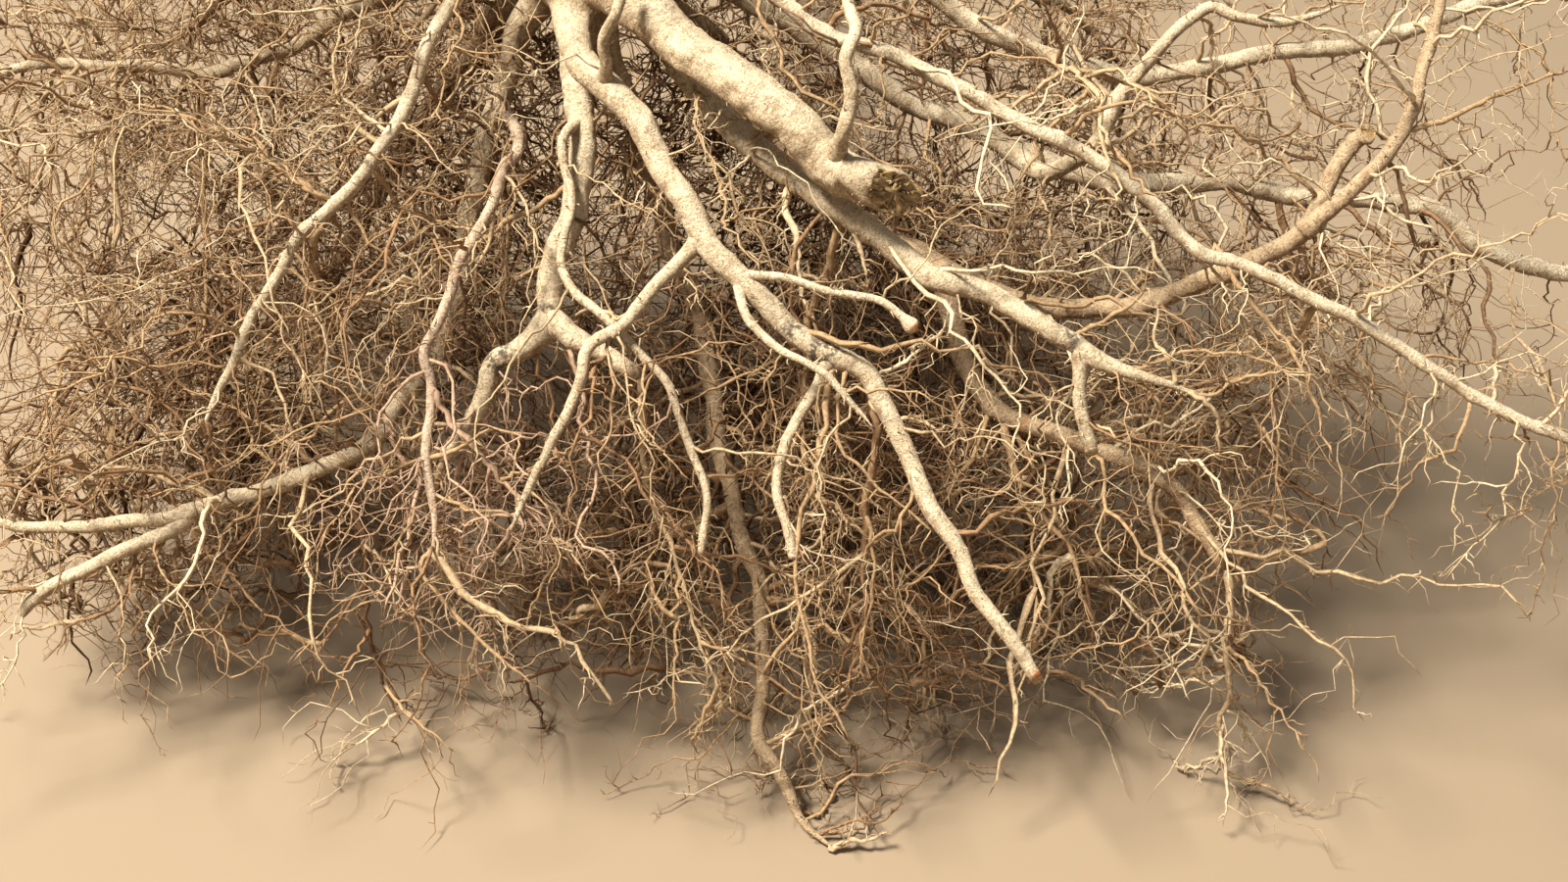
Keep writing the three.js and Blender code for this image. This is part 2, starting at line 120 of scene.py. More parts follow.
# %% Sizes of the roots that leave the crown
ROOTS = {
    "root_front_long": limb((17.5, 6.8), (4, -63, -32), (27, -91, -46), (70, -149, -89), (90, -166, -106),
        (112, -180, -123), (134, -191, -137), (154, -197, -146), (164, -208, -158), (192, -254, -199),
        (213, -284, -224), (242, -314, -249)),
    "root_thick_stub": limb((25, 23.5), (34, -63, -4), (56, -83, -12), (79, -106, -22), (101, -119, -32),
        (119, -128, -42), (136, -136, -53), (169, -155, -63)),
    "root_down": limb((17, 13.5), (1, -36, -40), (2, -65, -65), (1, -87, -85), (-2, -111, -105),
        (-8, -131, -122), (-11, -153, -142)),
    "root_right_low": limb((16, 7.5), (48, -46, -40), (87, -85, -64), (122, -118, -81), (162, -143, -98),
        (194, -161, -111), (215, -165, -115), (250, -182, -130), (272, -193, -138), (295, -200, -143),
        (323, -206, -149), fullness=2),
    "root_right_long": limb((8.8, 6.2), (55, -39, 19), (106, -62, 1), (134, -72, -13), (165, -84, -24),
        (248, -114, -51), (271, -124, -61), (298, -141, -79), (323, -155, -95), (354, -163, -102),
        (419, -187, -129), (491, -214, -161), (536, -230, -180)),
    "root_right_rear": limb((14.5, 9.5), (65, 5, -72), (140, -45, -132), (213, -92, -160),
        (271, -111, -164), (315, -120, -152), (370, -115, -128), (393, -106, -110), (412, -83, -83),
        (427, -74, -73)),
    "root_right_far": limb((14, 10), (68, 37, -38), (170, 20, -98), (255, -7, -131), (312, -16, -143),
        (369, -16, -145), (484, -26, -156), (521, -40, -171), (546, -47, -179), (584, -49, -182)),
    "root_right_top": limb((13.5, 8), (80, 47, 12), (167, 36, -29), (240, 16, -68), (297, 5, -86),
        (342, 10, -82), (388, 15, -78), (427, 17, -75), (471, 25, -64), (516, 33, -54), (579, 39, -45)),
    "root_left_low": limb((15, 7), (-48, -8, -81), (-78, -91, -180), (-106, -136, -221), (-138, -156, -236),
        (-199, -182, -245), (-226, -198, -252), (-259, -212, -259), (-285, -222, -266), (-304, -236, -280)),
    "root_left_sweep": limb((9.5, 4.8), (-46, -28, 2), (-63, -52, -15), (-81, -74, -39), (-110, -106, -78),
        (-124, -118, -94), (-147, -134, -115), (-173, -154, -146), (-189, -173, -175), (-194, -185, -191)),
    "root_left_far": limb((13, 5), (-66, 24, -24), (-117, 28, -48), (-170, 21, -71), (-201, 13, -81),
        (-234, 7, -85), (-315, 12, -78), (-338, 7, -83), (-364, 2, -91)),
    "root_tap": limb((15, 6.5), (18, -18, -72), (62, -72, -204), (83, -156, -274), (98, -193, -304),
        (101, -215, -321), (96, -250, -353), (105, -266, -370), (118, -280, -387), (139, -300, -410)),
    "root_up_left": limb((13, 5), (-50, 5, 42), (-140, -12, 108), (-238, -22, 128), (-322, -52, 100)),
    "root_up_right": limb((15, 6), (45, 12, 48), (135, 28, 112), (232, 22, 148), (312, 58, 132)),
    "root_prop_left": limb((17, 8), (-48, 36, -58), (-125, 92, -175), (-200, 148, -305), (-262, 190, -394),
        (-318, 236, -412)),
    "root_prop_right": limb((17, 8), (44, 46, -58), (118, 104, -182), (192, 160, -312), (258, 204, -394),
        (312, 252, -412)),
    "root_back_left": limb((12, 5), (-64, 46, 6), (-162, 92, -36), (-262, 122, -112), (-342, 172, -188)),
    "root_back_right": limb((12, 5), (56, 66, 30), (172, 116, -18), (262, 152, -98), (332, 202, -172)),
}

# %% Sizes of the roots that fork off others, and of the three branches
FORKS = {
    "root_down_left": limb((11.5, 8.5), (-23, -161, -151), (-33, -166, -156), (-43, -168, -161),
        (-50, -177, -185), (-56, -183, -196), (-71, -189, -208), parent="root_down", share=0.99),
    "root_down_right": limb((11, 8.5), (0, -162, -146), (12, -168, -149), (25, -175, -153),
        (38, -181, -159), parent="root_down", share=0.99),
    "root_slim_front": limb((5.4, 4.2), (-6, -91, -68), (-5, -105, -78), (-1, -120, -89), (-2, -143, -108),
        (4, -158, -117), (16, -169, -124), (38, -186, -143), (51, -195, -156), (62, -207, -171),
        (70, -220, -188), (73, -231, -201), (68, -249, -222), parent="root_down", share=0.46),
    "root_cross": limb((7.6, 5), (56, -158, -104), (45, -167, -111), (34, -179, -120), (18, -188, -128),
        (9, -195, -136), (5, -205, -149), (-9, -219, -171), (-13, -226, -182), (-19, -232, -193),
        (-28, -240, -209), parent="root_front_long", share=0.41),
    "root_front_curl": limb((7, 4.8), (128, -198, -152), (119, -209, -162), (110, -222, -175),
        (106, -233, -186), (110, -246, -199), (116, -261, -215), parent="root_front_long", share=0.58),
    "root_front_wisp": limb((5, 3.4), (90, -181, -113), (97, -190, -119), (121, -206, -131),
        (137, -214, -137), (151, -222, -147), (157, -228, -154), parent="root_front_long", share=0.46),
    "root_front_knob": limb((4.6, 4), (103, -171, -101), (117, -175, -100), (151, -183, -106),
        (162, -185, -110), (178, -192, -120), parent="root_front_long", share=0.46),
    "root_front_riser": limb((6.4, 5), (21, -89, -26), (20, -90, -10), (27, -89, 5), (32, -81, 21),
        parent="root_front_long", share=0.2),
    "root_slim_left": limb((6.8, 5), (-28, -84, -79), (-37, -98, -86), (-51, -129, -101), (-61, -145, -113),
        (-64, -156, -123), (-74, -177, -147), (-72, -189, -162), (-74, -215, -193), (-73, -228, -208),
        (-71, -241, -226), parent="root_left_low", share=0.2),
    "root_left_fork": limb((8, 6.2), (-232, -194, -249), (-264, -194, -247), (-296, -195, -248),
        (-318, -192, -246), (-338, -187, -243), parent="root_left_low", share=0.79),
    "root_riser": limb((7.6, 6), (142, -150, -29), (144, -145, -16), (143, -140, -8), (141, -133, 0),
        (146, -122, 10), (142, -109, 19), (140, -91, 33), parent="root_thick_stub", share=0.85),
    "root_right_stub": limb((7.6, 7), (264, -198, -151), (267, -206, -166), (272, -217, -187),
        parent="root_right_low", share=0.85),
    "root_right_fork": limb((9, 6), (403, -109, -97), (413, -105, -88), (428, -98, -76), (437, -88, -63),
        (445, -79, -50), (455, -53, -19), (460, -38, -2), parent="root_right_rear", share=0.88),
    "root_right_under": limb((12, 8), (213, -122, -195), (226, -146, -204), (251, -162, -209),
        (282, -174, -214), (303, -181, -218), (325, -193, -229), (338, -207, -243), (351, -221, -260),
        parent="root_right_rear", share=0.5),
    "root_right_rise": limb((11, 4.5), (259, -27, -129), (275, -42, -110), (286, -46, -92), (299, -38, -71),
        (330, -23, -40), (344, -18, -31), (358, -23, -34), (394, -27, -32), (413, -24, -26),
        parent="root_right_far", share=0.45),
}
BRANCHES = {
    "branch_left": limb((10, 5), (-10, 1280, -262), (-95, 1430, -318), parent="stem", share=0.7),
    "branch_right": limb((9.5, 5), (98, 1390, -296), (172, 1520, -332), parent="stem", share=0.79),
    "branch_up": limb((9, 4.5), (38, 1460, -262), (22, 1580, -206), parent="stem", share=0.86),
}

# %% Sizes of the masses of rootlets and twigs


def mass(parent, share, out, reach, width, sides):
    """A mass grows from one stem: where it leaves its limb, its heading, reach, width and sides."""
    return {"parent": parent, "share": share, "out": out, "reach": reach, "width": width, "sides": sides}


ROOTLET_MASSES = {
    "rootlets_right_low": mass("root_right_low", 0.5, (0, -0.25, -1), 205, 5, 8),
    "rootlets_front_long": mass("root_front_long", 0.66, (-0.25, -0.3, -1), 190, 5, 8),
    "rootlets_down": mass("root_down", 0.62, (-1, -0.35, -0.3), 130, 4.5, 7),
    "rootlets_down_left": mass("root_down_left", 1, (-0.3, -0.3, -1), 180, 5, 8),
    "rootlets_down_right": mass("root_down_right", 1, (0.35, -0.2, -1), 190, 5, 8),
    "rootlets_slim_left": mass("root_slim_left", 0.72, (0.8, -0.5, -0.7), 130, 4, 9),
    "rootlets_left_sweep": mass("root_left_sweep", 0.6, (-0.8, -0.3, -0.7), 170, 4.5, 7),
    "rootlets_left_low": mass("root_left_low", 0.62, (-0.1, -0.1, -1), 165, 5, 8),
    "rootlets_left_far": mass("root_left_far", 0.5, (-0.25, -0.5, -0.7), 220, 5, 8),
    "rootlets_tap_left": mass("root_tap", 0.6, (-1, -0.4, -0.45), 190, 5, 8),
    "rootlets_tap_right": mass("root_tap", 0.7, (0.9, -0.3, -0.25), 180, 5, 8),
    "rootlets_right_under": mass("root_right_under", 0.45, (-0.15, -0.2, -1), 200, 5.5, 8),
    "rootlets_right_end": mass("root_right_under", 1, (0.1, -0.3, -1), 140, 5, 7),
    "rootlets_right_long": mass("root_right_long", 0.72, (0.1, 0, -1), 170, 4.5, 8),
    "rootlets_right_top": mass("root_right_top", 0.48, (0.15, -0.35, 0.35), 170, 6, 8),
    "rootlets_right_far": mass("root_right_far", 0.7, (0.15, -0.15, -1), 215, 5.5, 8),
    "rootlets_prop_left": mass("root_prop_left", 0.5, (-0.8, 0.3, -0.4), 190, 5, 7),
    "rootlets_prop_right": mass("root_prop_right", 0.5, (0.8, 0.3, -0.4), 190, 5, 7),
    "rootlets_back_left": mass("root_back_left", 1, (-0.6, 0.3, -0.8), 150, 4.5, 7),
    "rootlets_back_right": mass("root_back_right", 1, (0.6, 0.3, -0.8), 150, 4.5, 7),
}
TWIG_MASSES = {
    "twigs_left": mass("branch_left", 1, (-0.45, 0.9, -0.25), 260, 4.2, 6),
    "twigs_right": mass("branch_right", 1, (0.4, 0.95, -0.2), 250, 4.2, 6),
    "twigs_tip": mass("stem", 1, (-0.1, 1, -0.15), 330, 8, 7),
}

# %% [markdown]
# ## The rule that grows the plant
# Every curve and every twig comes from the same seeded rule as the solids, so that bark and
# rootlets land where the solids are. A small arithmetic generator gives the same numbers in
# both languages. Each limb's seed is worked out from its name.

# %% Seeded numbers and tapers


def seeded(name):
    """Endless numbers from 0 to 1 that depend on a name alone."""
    state = 7
    for letter in name:
        state = (state * 31 + ord(letter)) % 1000003
    while True:
        state = (state * 1664525 + 1013904223) % 4294967296
        yield state / 4294967296


def taper(width, fullness=1.0):
    """Diameter by share of the length. A fullness over 1 keeps it thick for longer."""
    foot, tip = width
    return lambda share: foot + (tip - foot) * np.asarray(share, float) ** fullness


def stem_width(share):
    """The stem's diameter, with its flare above the roots."""
    share = np.asarray(share, float)
    return taper(STEM_WIDTH, STEM_FULLNESS)(share) + FLARE["width"] * np.exp(-share / FLARE["reach"])


def rest_on_ground(height, radius):
    """Wood that would dip below the ground bends along it instead."""
    lowest = radius - CROWN_HEIGHT
    over = (height - lowest) / GROUND_SOFTNESS
    return np.where(over > 20, height, lowest + GROUND_SOFTNESS * np.log1p(np.exp(np.minimum(over, 20))))


def unit(ways):
    """Ways of length one."""
    return ways / np.linalg.norm(ways, axis=-1, keepdims=True)


# %% Centrelines
WANDER = {"size": 2.6, "fade_in": 60, "slow": 21, "quick": 9, "slow_share": 0.65}
RING_SPACING = {"limb": 36, "stem": 75}
PIECES_BETWEEN_BENDS = 20


def smooth_line(stations, pieces):
    """A smooth curve through stations, with so many straight pieces between each two."""
    padded = np.array([2 * stations[0] - stations[1], *stations, 2 * stations[-1] - stations[-2]])
    before, here, after, beyond = padded[:-3], padded[1:-2], padded[2:-1], padded[3:]
    leaving, arriving = 0.5 * (after - before), 0.5 * (beyond - here)
    share = (np.arange(pieces) / pieces)[None, :, None]
    here, after, leaving, arriving = (part[:, None] for part in (here, after, leaving, arriving))
    square = -3 * here + 3 * after - 2 * leaving - arriving
    cube = 2 * here - 2 * after + leaving + arriving
    spans = here + leaving * share + square * share**2 + cube * share**3
    return np.vstack([spans.reshape(-1, 3), stations[-1]])


def distances_along(points):
    """How far each point of a line is from its start, along the line."""
    return np.concatenate([[0], np.cumsum(np.linalg.norm(np.diff(points, axis=0), axis=1))])


def evenly_spaced(points, steps):
    """A line cut anew into equal steps, with the distances of its new points."""
    distances = distances_along(points)
    even = np.linspace(0, distances[-1], steps + 1)
    return np.column_stack([np.interp(even, distances, points[:, axis]) for axis in range(3)]), even


def centreline(name, start, bends, width_at, spacing):
    """A limb's centreline in equal steps, with the small waves of real wood, and its length."""
    fine = smooth_line(np.array([start, *bends], float), PIECES_BETWEEN_BENDS)
    length = distances_along(fine)[-1]
    points, along = evenly_spaced(fine, max(3, int(length / spacing + 0.5)))
    draw = seeded(name)
    phases = np.array([next(draw) for _ in range(6)]) * 2 * np.pi
    slow = np.sin(along[:, None] / WANDER["slow"] + phases[:3])
    quick = np.sin(along[:, None] / WANDER["quick"] + phases[3:])
    size = WANDER["size"] * np.minimum(1, along / WANDER["fade_in"])
    points += size[:, None] * (WANDER["slow_share"] * slow + (1 - WANDER["slow_share"]) * quick)
    points[:, 2] = rest_on_ground(points[:, 2], width_at(along / length) / 2)
    return points, length


def frames(points):
    """At each point of a line, the way ahead and two ways across that don't twist."""
    last = len(points) - 1
    ahead = unit(np.array([points[min(i + 1, last)] - points[max(i - 1, 0)] for i in range(last + 1)]))
    side = np.array([-ahead[0][2], 0.3, ahead[0][0]])
    sides = []
    for way in ahead:
        side = side - way * (side @ way)
        side = side / np.linalg.norm(side)
        sides.append(side)
    return ahead, np.array(sides), np.cross(ahead, np.array(sides))


def round_about(turns, side, across):
    """The ways out from a line at given turns round it."""
    return np.cos(turns)[:, None] * side + np.sin(turns)[:, None] * across


def point_along(points, share):
    """The place at a share of a line's steps."""
    place = share * (len(points) - 1)
    index = min(len(points) - 2, int(place))
    return points[index] + (points[index + 1] - points[index]) * (place - index)


# %% Every limb's centreline as the solids have it
ALL_ROOTS = {**ROOTS, **FORKS}
limbs = {}


def plan_limb(name, spec, spacing, width_at=None):
    """Keeps a limb's coarse centreline, its width rule and its start, for all that grows on it."""
    width_at = width_at or taper(spec["width"], spec["fullness"])
    parent = limbs.get(spec["parent"])
    start = point_along(parent["points"], spec["share"]) if parent else np.zeros(3)
    points, length = centreline(name, start, spec["bends"], width_at, spacing)
    limbs[name] = {"points": points, "width_at": width_at, "start": start, "length": length, **spec}


plan_limb("stem", limb(STEM_WIDTH, *STEM_BENDS), RING_SPACING["stem"], stem_width)
for name, spec in {**ALL_ROOTS, **BRANCHES}.items():
    plan_limb(name, spec, RING_SPACING["limb"])
print(len(limbs), "limbs,", round(sum(each["length"] for each in limbs.values()) / 1000, 1), "m of them")

# %% [markdown]
# ## Where the crown is in the frame
# The solids' origin lies on the ground under the middle of the whole plant, and the sizes above
# are measured from the crown. The way from one to the other is found by comparing the facets
# that the rule gives for the far right root with the box of its solid. A second root shows
# whether the two agree.

# %% Find the crown in the frame
FACETS = {"fewest": 5.4, "per_millimetre": 0.12}


def facet_corners(name):
    """The corners of a limb's faceted tube, as its solid has them."""
    points, width_at = limbs[name]["points"], limbs[name]["width_at"]
    ahead, side, across = frames(points)
    count = round(FACETS["fewest"] + FACETS["per_millimetre"] * limbs[name]["width"][0])
    turns = np.arange(count) / count * 2 * np.pi
    radius = (width_at(np.linspace(0, 1, len(points))) / 2)[:, None, None]
    spokes = np.sin(turns)[None, :, None] * side[:, None] + np.cos(turns)[None, :, None] * across[:, None]
    return (points[:, None] + radius * spokes).reshape(-1, 3)


def gap_to_solid(name):
    """How far the solid's right, front and lowest sides are from the rule's, in millimetres."""
    low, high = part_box(name)
    corners = facet_corners(name)
    rule = np.array([corners[:, 0].max(), corners[:, 1].min(), corners[:, 2].min()])
    return np.array([high.x, low.y, low.z]) * 1000 - rule


crown_place = gap_to_solid("root_right_far")
check = np.abs(gap_to_solid("root_right_long") - crown_place)
print("the crown is at", np.round(crown_place, 2), "mm, and a second root agrees to", np.round(check, 3))


def to_frame(places):
    """From millimetres round the crown to metres in the frame."""
    return (np.asarray(places, float) + crown_place) / 1000


# %% [markdown]
# ## Camera, floor and light
# The photograph looks down on the roots from their own side, at forty degrees, with the crown
# just above the top edge of the picture. The floor is plain and pale, and runs out to a sky of
# the same colour. The light is a large warm softbox, high on the left, with a weak fill opposite,
# so that rounded bark keeps its shading and the rootlets inside stay dark.

# %% The camera at the photograph's angle
EYE = np.array([111.5, -960, 452])
LOOK_DOWN = math.radians(40)
WIDTH_OF_VIEW = math.radians(45)
SENSOR = 36


def linked(name, data):
    """An object of that name in the scene."""
    made = bpy.data.objects.new(name, data)
    bpy.context.scene.collection.objects.link(made)
    return made


camera = linked("camera", bpy.data.cameras.new("camera"))
bpy.context.scene.camera = camera
camera.location = to_frame(EYE)
camera.rotation_euler = (math.pi / 2 - LOOK_DOWN, 0, 0)
camera.data.sensor_width = SENSOR
camera.data.lens = SENSOR / 2 / math.tan(WIDTH_OF_VIEW / 2)
print("camera at", [round(side, 3) for side in camera.location], "m, lens", round(camera.data.lens, 1), "mm")

# %% Helpers that wire a material


def wire(tree, kind, sockets=None, **settings):
    """One shader node, with its settings and with values or links on its sockets."""
    made = tree.nodes.new("ShaderNode" + kind)
    for setting, value in settings.items():
        setattr(made, setting, value)
    for socket, value in (sockets or {}).items():
        if isinstance(value, bpy.types.NodeSocket):
            tree.links.new(value, made.inputs[socket])
        else:
            made.inputs[socket].default_value = value
    return made


def math_of(tree, operation, *values, clamp=False):
    """The result of one sum on numbers or links."""
    return wire(tree, "Math", dict(enumerate(values)), operation=operation, use_clamp=clamp).outputs[0]


def product(tree, one, other):
    """Two shares multiplied, and kept within 0 and 1."""
    return math_of(tree, "MULTIPLY", one, other, clamp=True)


def layered(tree, base, layers):
    """A colour with others laid over it in turn, each given as (share, colour)."""
    for share, over in layers:
        base = wire(tree, "Mix", {0: share, 6: base, 7: over}, data_type="RGBA").outputs[2]
    return base


def remapped(tree, value, low, high, to_low=0.0, to_high=1.0):
    """A value taken from one range to another, and kept within it."""
    sockets = {"Value": value, "From Min": low, "From Max": high, "To Min": to_low, "To Max": to_high}
    return wire(tree, "MapRange", sockets, interpolation_type="SMOOTHSTEP").outputs[0]


def stretched(tree, vector, scale):
    """Coordinates stretched by a scale on each axis."""
    return wire(tree, "Mapping", {"Vector": vector, "Scale": scale}).outputs[0]


def clouds(tree, vector, scale, detail=4.0, roughness=0.6, distortion=0.0):
    """Soft noise from 0 to 1."""
    sockets = {"Vector": vector, "Scale": scale, "Detail": detail, "Roughness": roughness,
               "Distortion": distortion}
    return wire(tree, "TexNoise", sockets).outputs[0]


def cells(tree, vector, scale, feature="F1"):
    """The distance to the nearest middle, or edge, in a pattern of cells."""
    return wire(tree, "TexVoronoi", {"Vector": vector, "Scale": scale}, feature=feature).outputs["Distance"]


def colour(red, green, blue):
    """An opaque colour."""
    return (red, green, blue, 1.0)


def new_material(name, roughness=0.9):
    """A material with its shader, ready for wiring."""
    material = bpy.data.materials.new(name)
    material.use_nodes = True
    shader = material.node_tree.nodes["Principled BSDF"]
    shader.inputs["Roughness"].default_value = roughness
    return material, material.node_tree, shader


def finish_shader(tree, shader, base, patterns, bump):
    """Gives a shader its colour, its sheen, and the relief of patterns added up by weight."""
    tree.links.new(base, shader.inputs["Base Color"])
    height = 0.0
    for pattern, weight in bump["weights"].items():
        height = math_of(tree, "MULTIPLY_ADD", patterns[pattern], weight, height)
    sockets = {"Strength": bump["strength"], "Distance": bump["depth"], "Height": height}
    tree.links.new(wire(tree, "Bump", sockets).outputs[0], shader.inputs["Normal"])
    shader.inputs["Specular IOR Level"].default_value = bump["sheen"]


# %% Floor, sky and lights
FLOOR_HALF = 14
FLOOR_COLOUR = colour(0.30, 0.235, 0.165)
SKY_COLOUR = colour(0.82, 0.78, 0.72)
SKY_STRENGTH = 0.21
LIGHTS = {
    "softbox": {"place": (-2.2, -1.5, 4.6), "size": 1.1, "power": 690, "colour": (1.0, 0.91, 0.77)},
    "fill": {"place": (2.0, -2.4, 1.6), "size": 1.8, "power": 5, "colour": (0.96, 0.96, 1.0)},
}
LIT_PLACE = Vector((0.0, -0.9, 0.1))

bpy.context.scene.view_settings.view_transform = "Standard"
floor_form = bmesh.new()
bmesh.ops.create_grid(floor_form, x_segments=1, y_segments=1, size=FLOOR_HALF)
floor_mesh = bpy.data.meshes.new("floor")
floor_form.to_mesh(floor_mesh)
floor_form.free()
floor_material, _, shader = new_material("pale_floor")
shader.inputs["Base Color"].default_value = FLOOR_COLOUR
floor_mesh.materials.append(floor_material)
linked("floor", floor_mesh)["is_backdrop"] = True

sky = bpy.data.worlds.new("sky")
bpy.context.scene.world = sky
sky.use_nodes = True
sky.node_tree.nodes["Background"].inputs["Color"].default_value = SKY_COLOUR
sky.node_tree.nodes["Background"].inputs["Strength"].default_value = SKY_STRENGTH

for name, facts in LIGHTS.items():
    lamp = bpy.data.lights.new(name, "AREA")
    lamp.size, lamp.energy, lamp.color = facts["size"], facts["power"], facts["colour"]
    lamp_object = linked(name, lamp)
    lamp_object.location = facts["place"]
    aim = LIT_PLACE - Vector(facts["place"])
    lamp_object.rotation_euler = aim.to_track_quat("-Z", "Y").to_euler()
print("floor, sky and", len(LIGHTS), "lights")

# %% [markdown]
# ## Bark
# Young root bark is tan and matt, and palest on its upper side, partly from a dusting of soil and partly as
# painted light from above. It carries short cracks that run part of the way round the root, shallow
# lengthwise furrows, grit, and small dark pits. The cracks have to run round each root however it bends, so
# the bark reads coordinates that are stored on the mesh, in centimetres on the straightened limb. A second
# attribute holds marks that have a place: cut wood, dark scuffs and fresh orange scrapes.

# %% The root bark's colours, and its patterns by the centimetre
# The palest tone of each bark goes mostly on its upper side: a dusting of soil, and painted light from above.
BARK_TONES = {
    "tan_bark": {"deep": (0.27, 0.165, 0.085), "body": (0.64, 0.49, 0.31), "dust_and_lit_top": (0.89, 0.77, 0.56)},
    "cream_bark": {"deep": (0.33, 0.215, 0.12), "body": (0.72, 0.575, 0.385), "dust_and_lit_top": (0.92, 0.815, 0.61)},
    "russet_bark": {"deep": (0.19, 0.105, 0.055), "body": (0.48, 0.315, 0.185), "dust_and_lit_top": (0.69, 0.535, 0.35)},
    "pink_bark": {"deep": (0.25, 0.145, 0.095), "body": (0.57, 0.405, 0.29), "dust_and_lit_top": (0.79, 0.635, 0.48)},
}
SPECK_COLOUR = colour(0.07, 0.042, 0.024)
SCUFF_COLOUR = colour(0.075, 0.062, 0.05)
SCRAPE_COLOUR = colour(0.56, 0.21, 0.055)
CUT_PALE = colour(0.70, 0.52, 0.27)
CUT_DARK = colour(0.30, 0.17, 0.07)
BARK_STRETCH = {"cracks": (0.7, 0.7, 2.3), "furrows": (2.2, 2.2, 0.6), "scales": (1.0, 1.0, 1.5)}
BARK_NOISE = {
    "crack_lines": {"scale": 1.9, "detail": 5, "roughness": 0.65, "distortion": 0.9},
    "sound_bark": {"scale": 0.9, "detail": 3},
    "furrows": {"scale": 1.5, "distortion": 0.3},
    "grit": {"scale": 8, "detail": 6, "roughness": 0.85},
    "bent_scales": {"scale": 1.2},
    "patches": {"scale": 1.3, "detail": 6, "roughness": 0.7},
    "bare": {"scale": 2.1, "detail": 5, "roughness": 0.7},
    "dust_and_top_light": {"scale": 1.8, "detail": 6},
    "pitted": {"scale": 2.6, "detail": 3},
    "strewn": {"scale": 1.4, "roughness": 0.7},
    "rubbed": {"scale": 2.6, "detail": 6, "roughness": 0.7},
    "fibres": {"scale": 15, "detail": 5, "roughness": 0.7},
}
BARK_CELLS = {"pits": 6.5, "scales": 2.3, "motes": 9.0}
RELIEF_RANGES = {"cracks": (0.0, 0.03), "sound_bark": (0.57, 0.45), "pits": (0.03, 0.20),
                 "scales": (0.0, 0.16)}
SCALE_BEND = 0.9


def bark_patterns(tree, grain):
    """The patterns that stand out of root bark or sink into it, each from 0 in a hollow to 1."""
    across, along, squat = (stretched(tree, grain, scale) for scale in BARK_STRETCH.values())
    lines = clouds(tree, across, **BARK_NOISE["crack_lines"])
    lines = math_of(tree, "ABSOLUTE", math_of(tree, "SUBTRACT", lines, 0.5))
    cracks = remapped(tree, lines, *RELIEF_RANGES["cracks"])
    sound = remapped(tree, clouds(tree, grain, **BARK_NOISE["sound_bark"]), *RELIEF_RANGES["sound_bark"])
    bend = math_of(tree, "MULTIPLY", clouds(tree, grain, **BARK_NOISE["bent_scales"]), SCALE_BEND)
    bent = wire(tree, "VectorMath", {0: squat, 1: bend}, operation="ADD").outputs[0]
    edges = cells(tree, bent, BARK_CELLS["scales"], "DISTANCE_TO_EDGE")
    return {
        "cracks": math_of(tree, "MAXIMUM", cracks, sound),
        "furrows": clouds(tree, along, **BARK_NOISE["furrows"]),
        "grit": clouds(tree, grain, **BARK_NOISE["grit"]),
        "pits": remapped(tree, cells(tree, grain, BARK_CELLS["pits"]), *RELIEF_RANGES["pits"]),
        "scales": remapped(tree, edges, *RELIEF_RANGES["scales"]),
    }


# %% The root bark materials
ROOT_BUMP = {"strength": 0.65, "depth": 0.0018, "sheen": 0.25,
             "weights": {"cracks": 0.35, "furrows": 0.60, "scales": 0.35, "pits": 0.25, "grit": 1.6}}
# The upper side takes more of the palest tone: painted light from above, over a dusting of soil.
DUST_AND_TOP_LIGHT_BY_SLOPE = (0.25, 0.30)
BARK_RANGES = {
    "patches": (0.34, 0.56), "bare": (0.40, 0.56, 0.6, 0.0), "edges": (0.0, 1.0, 0.75, 0.0),
    "worn": (0.38, 0.60), "dust_and_top_light": (0.64, 1.10), "furrows": (0.30, 0.46, 0.35, 0.0),
    "cracks": (0.0, 1.0, 0.8, 0.0), "pits": (0.0, 1.0, 1.0, 0.0), "pitted": (0.46, 0.60, 0.1, 0.85),
    "dark_grit": (0.39, 0.48, 0.75, 0.0),
    "pale_grit": (0.53, 0.62, 0.0, 0.85), "motes": (0.12, 0.22, 1.0, 0.0), "strewn": (0.52, 0.64),
    "rubbed": (0.36, 0.60), "scuffs": (0.15, 0.6, 0.0, 0.85), "scrapes": (0.15, 0.5), "fibres": (0.35, 0.65),
}


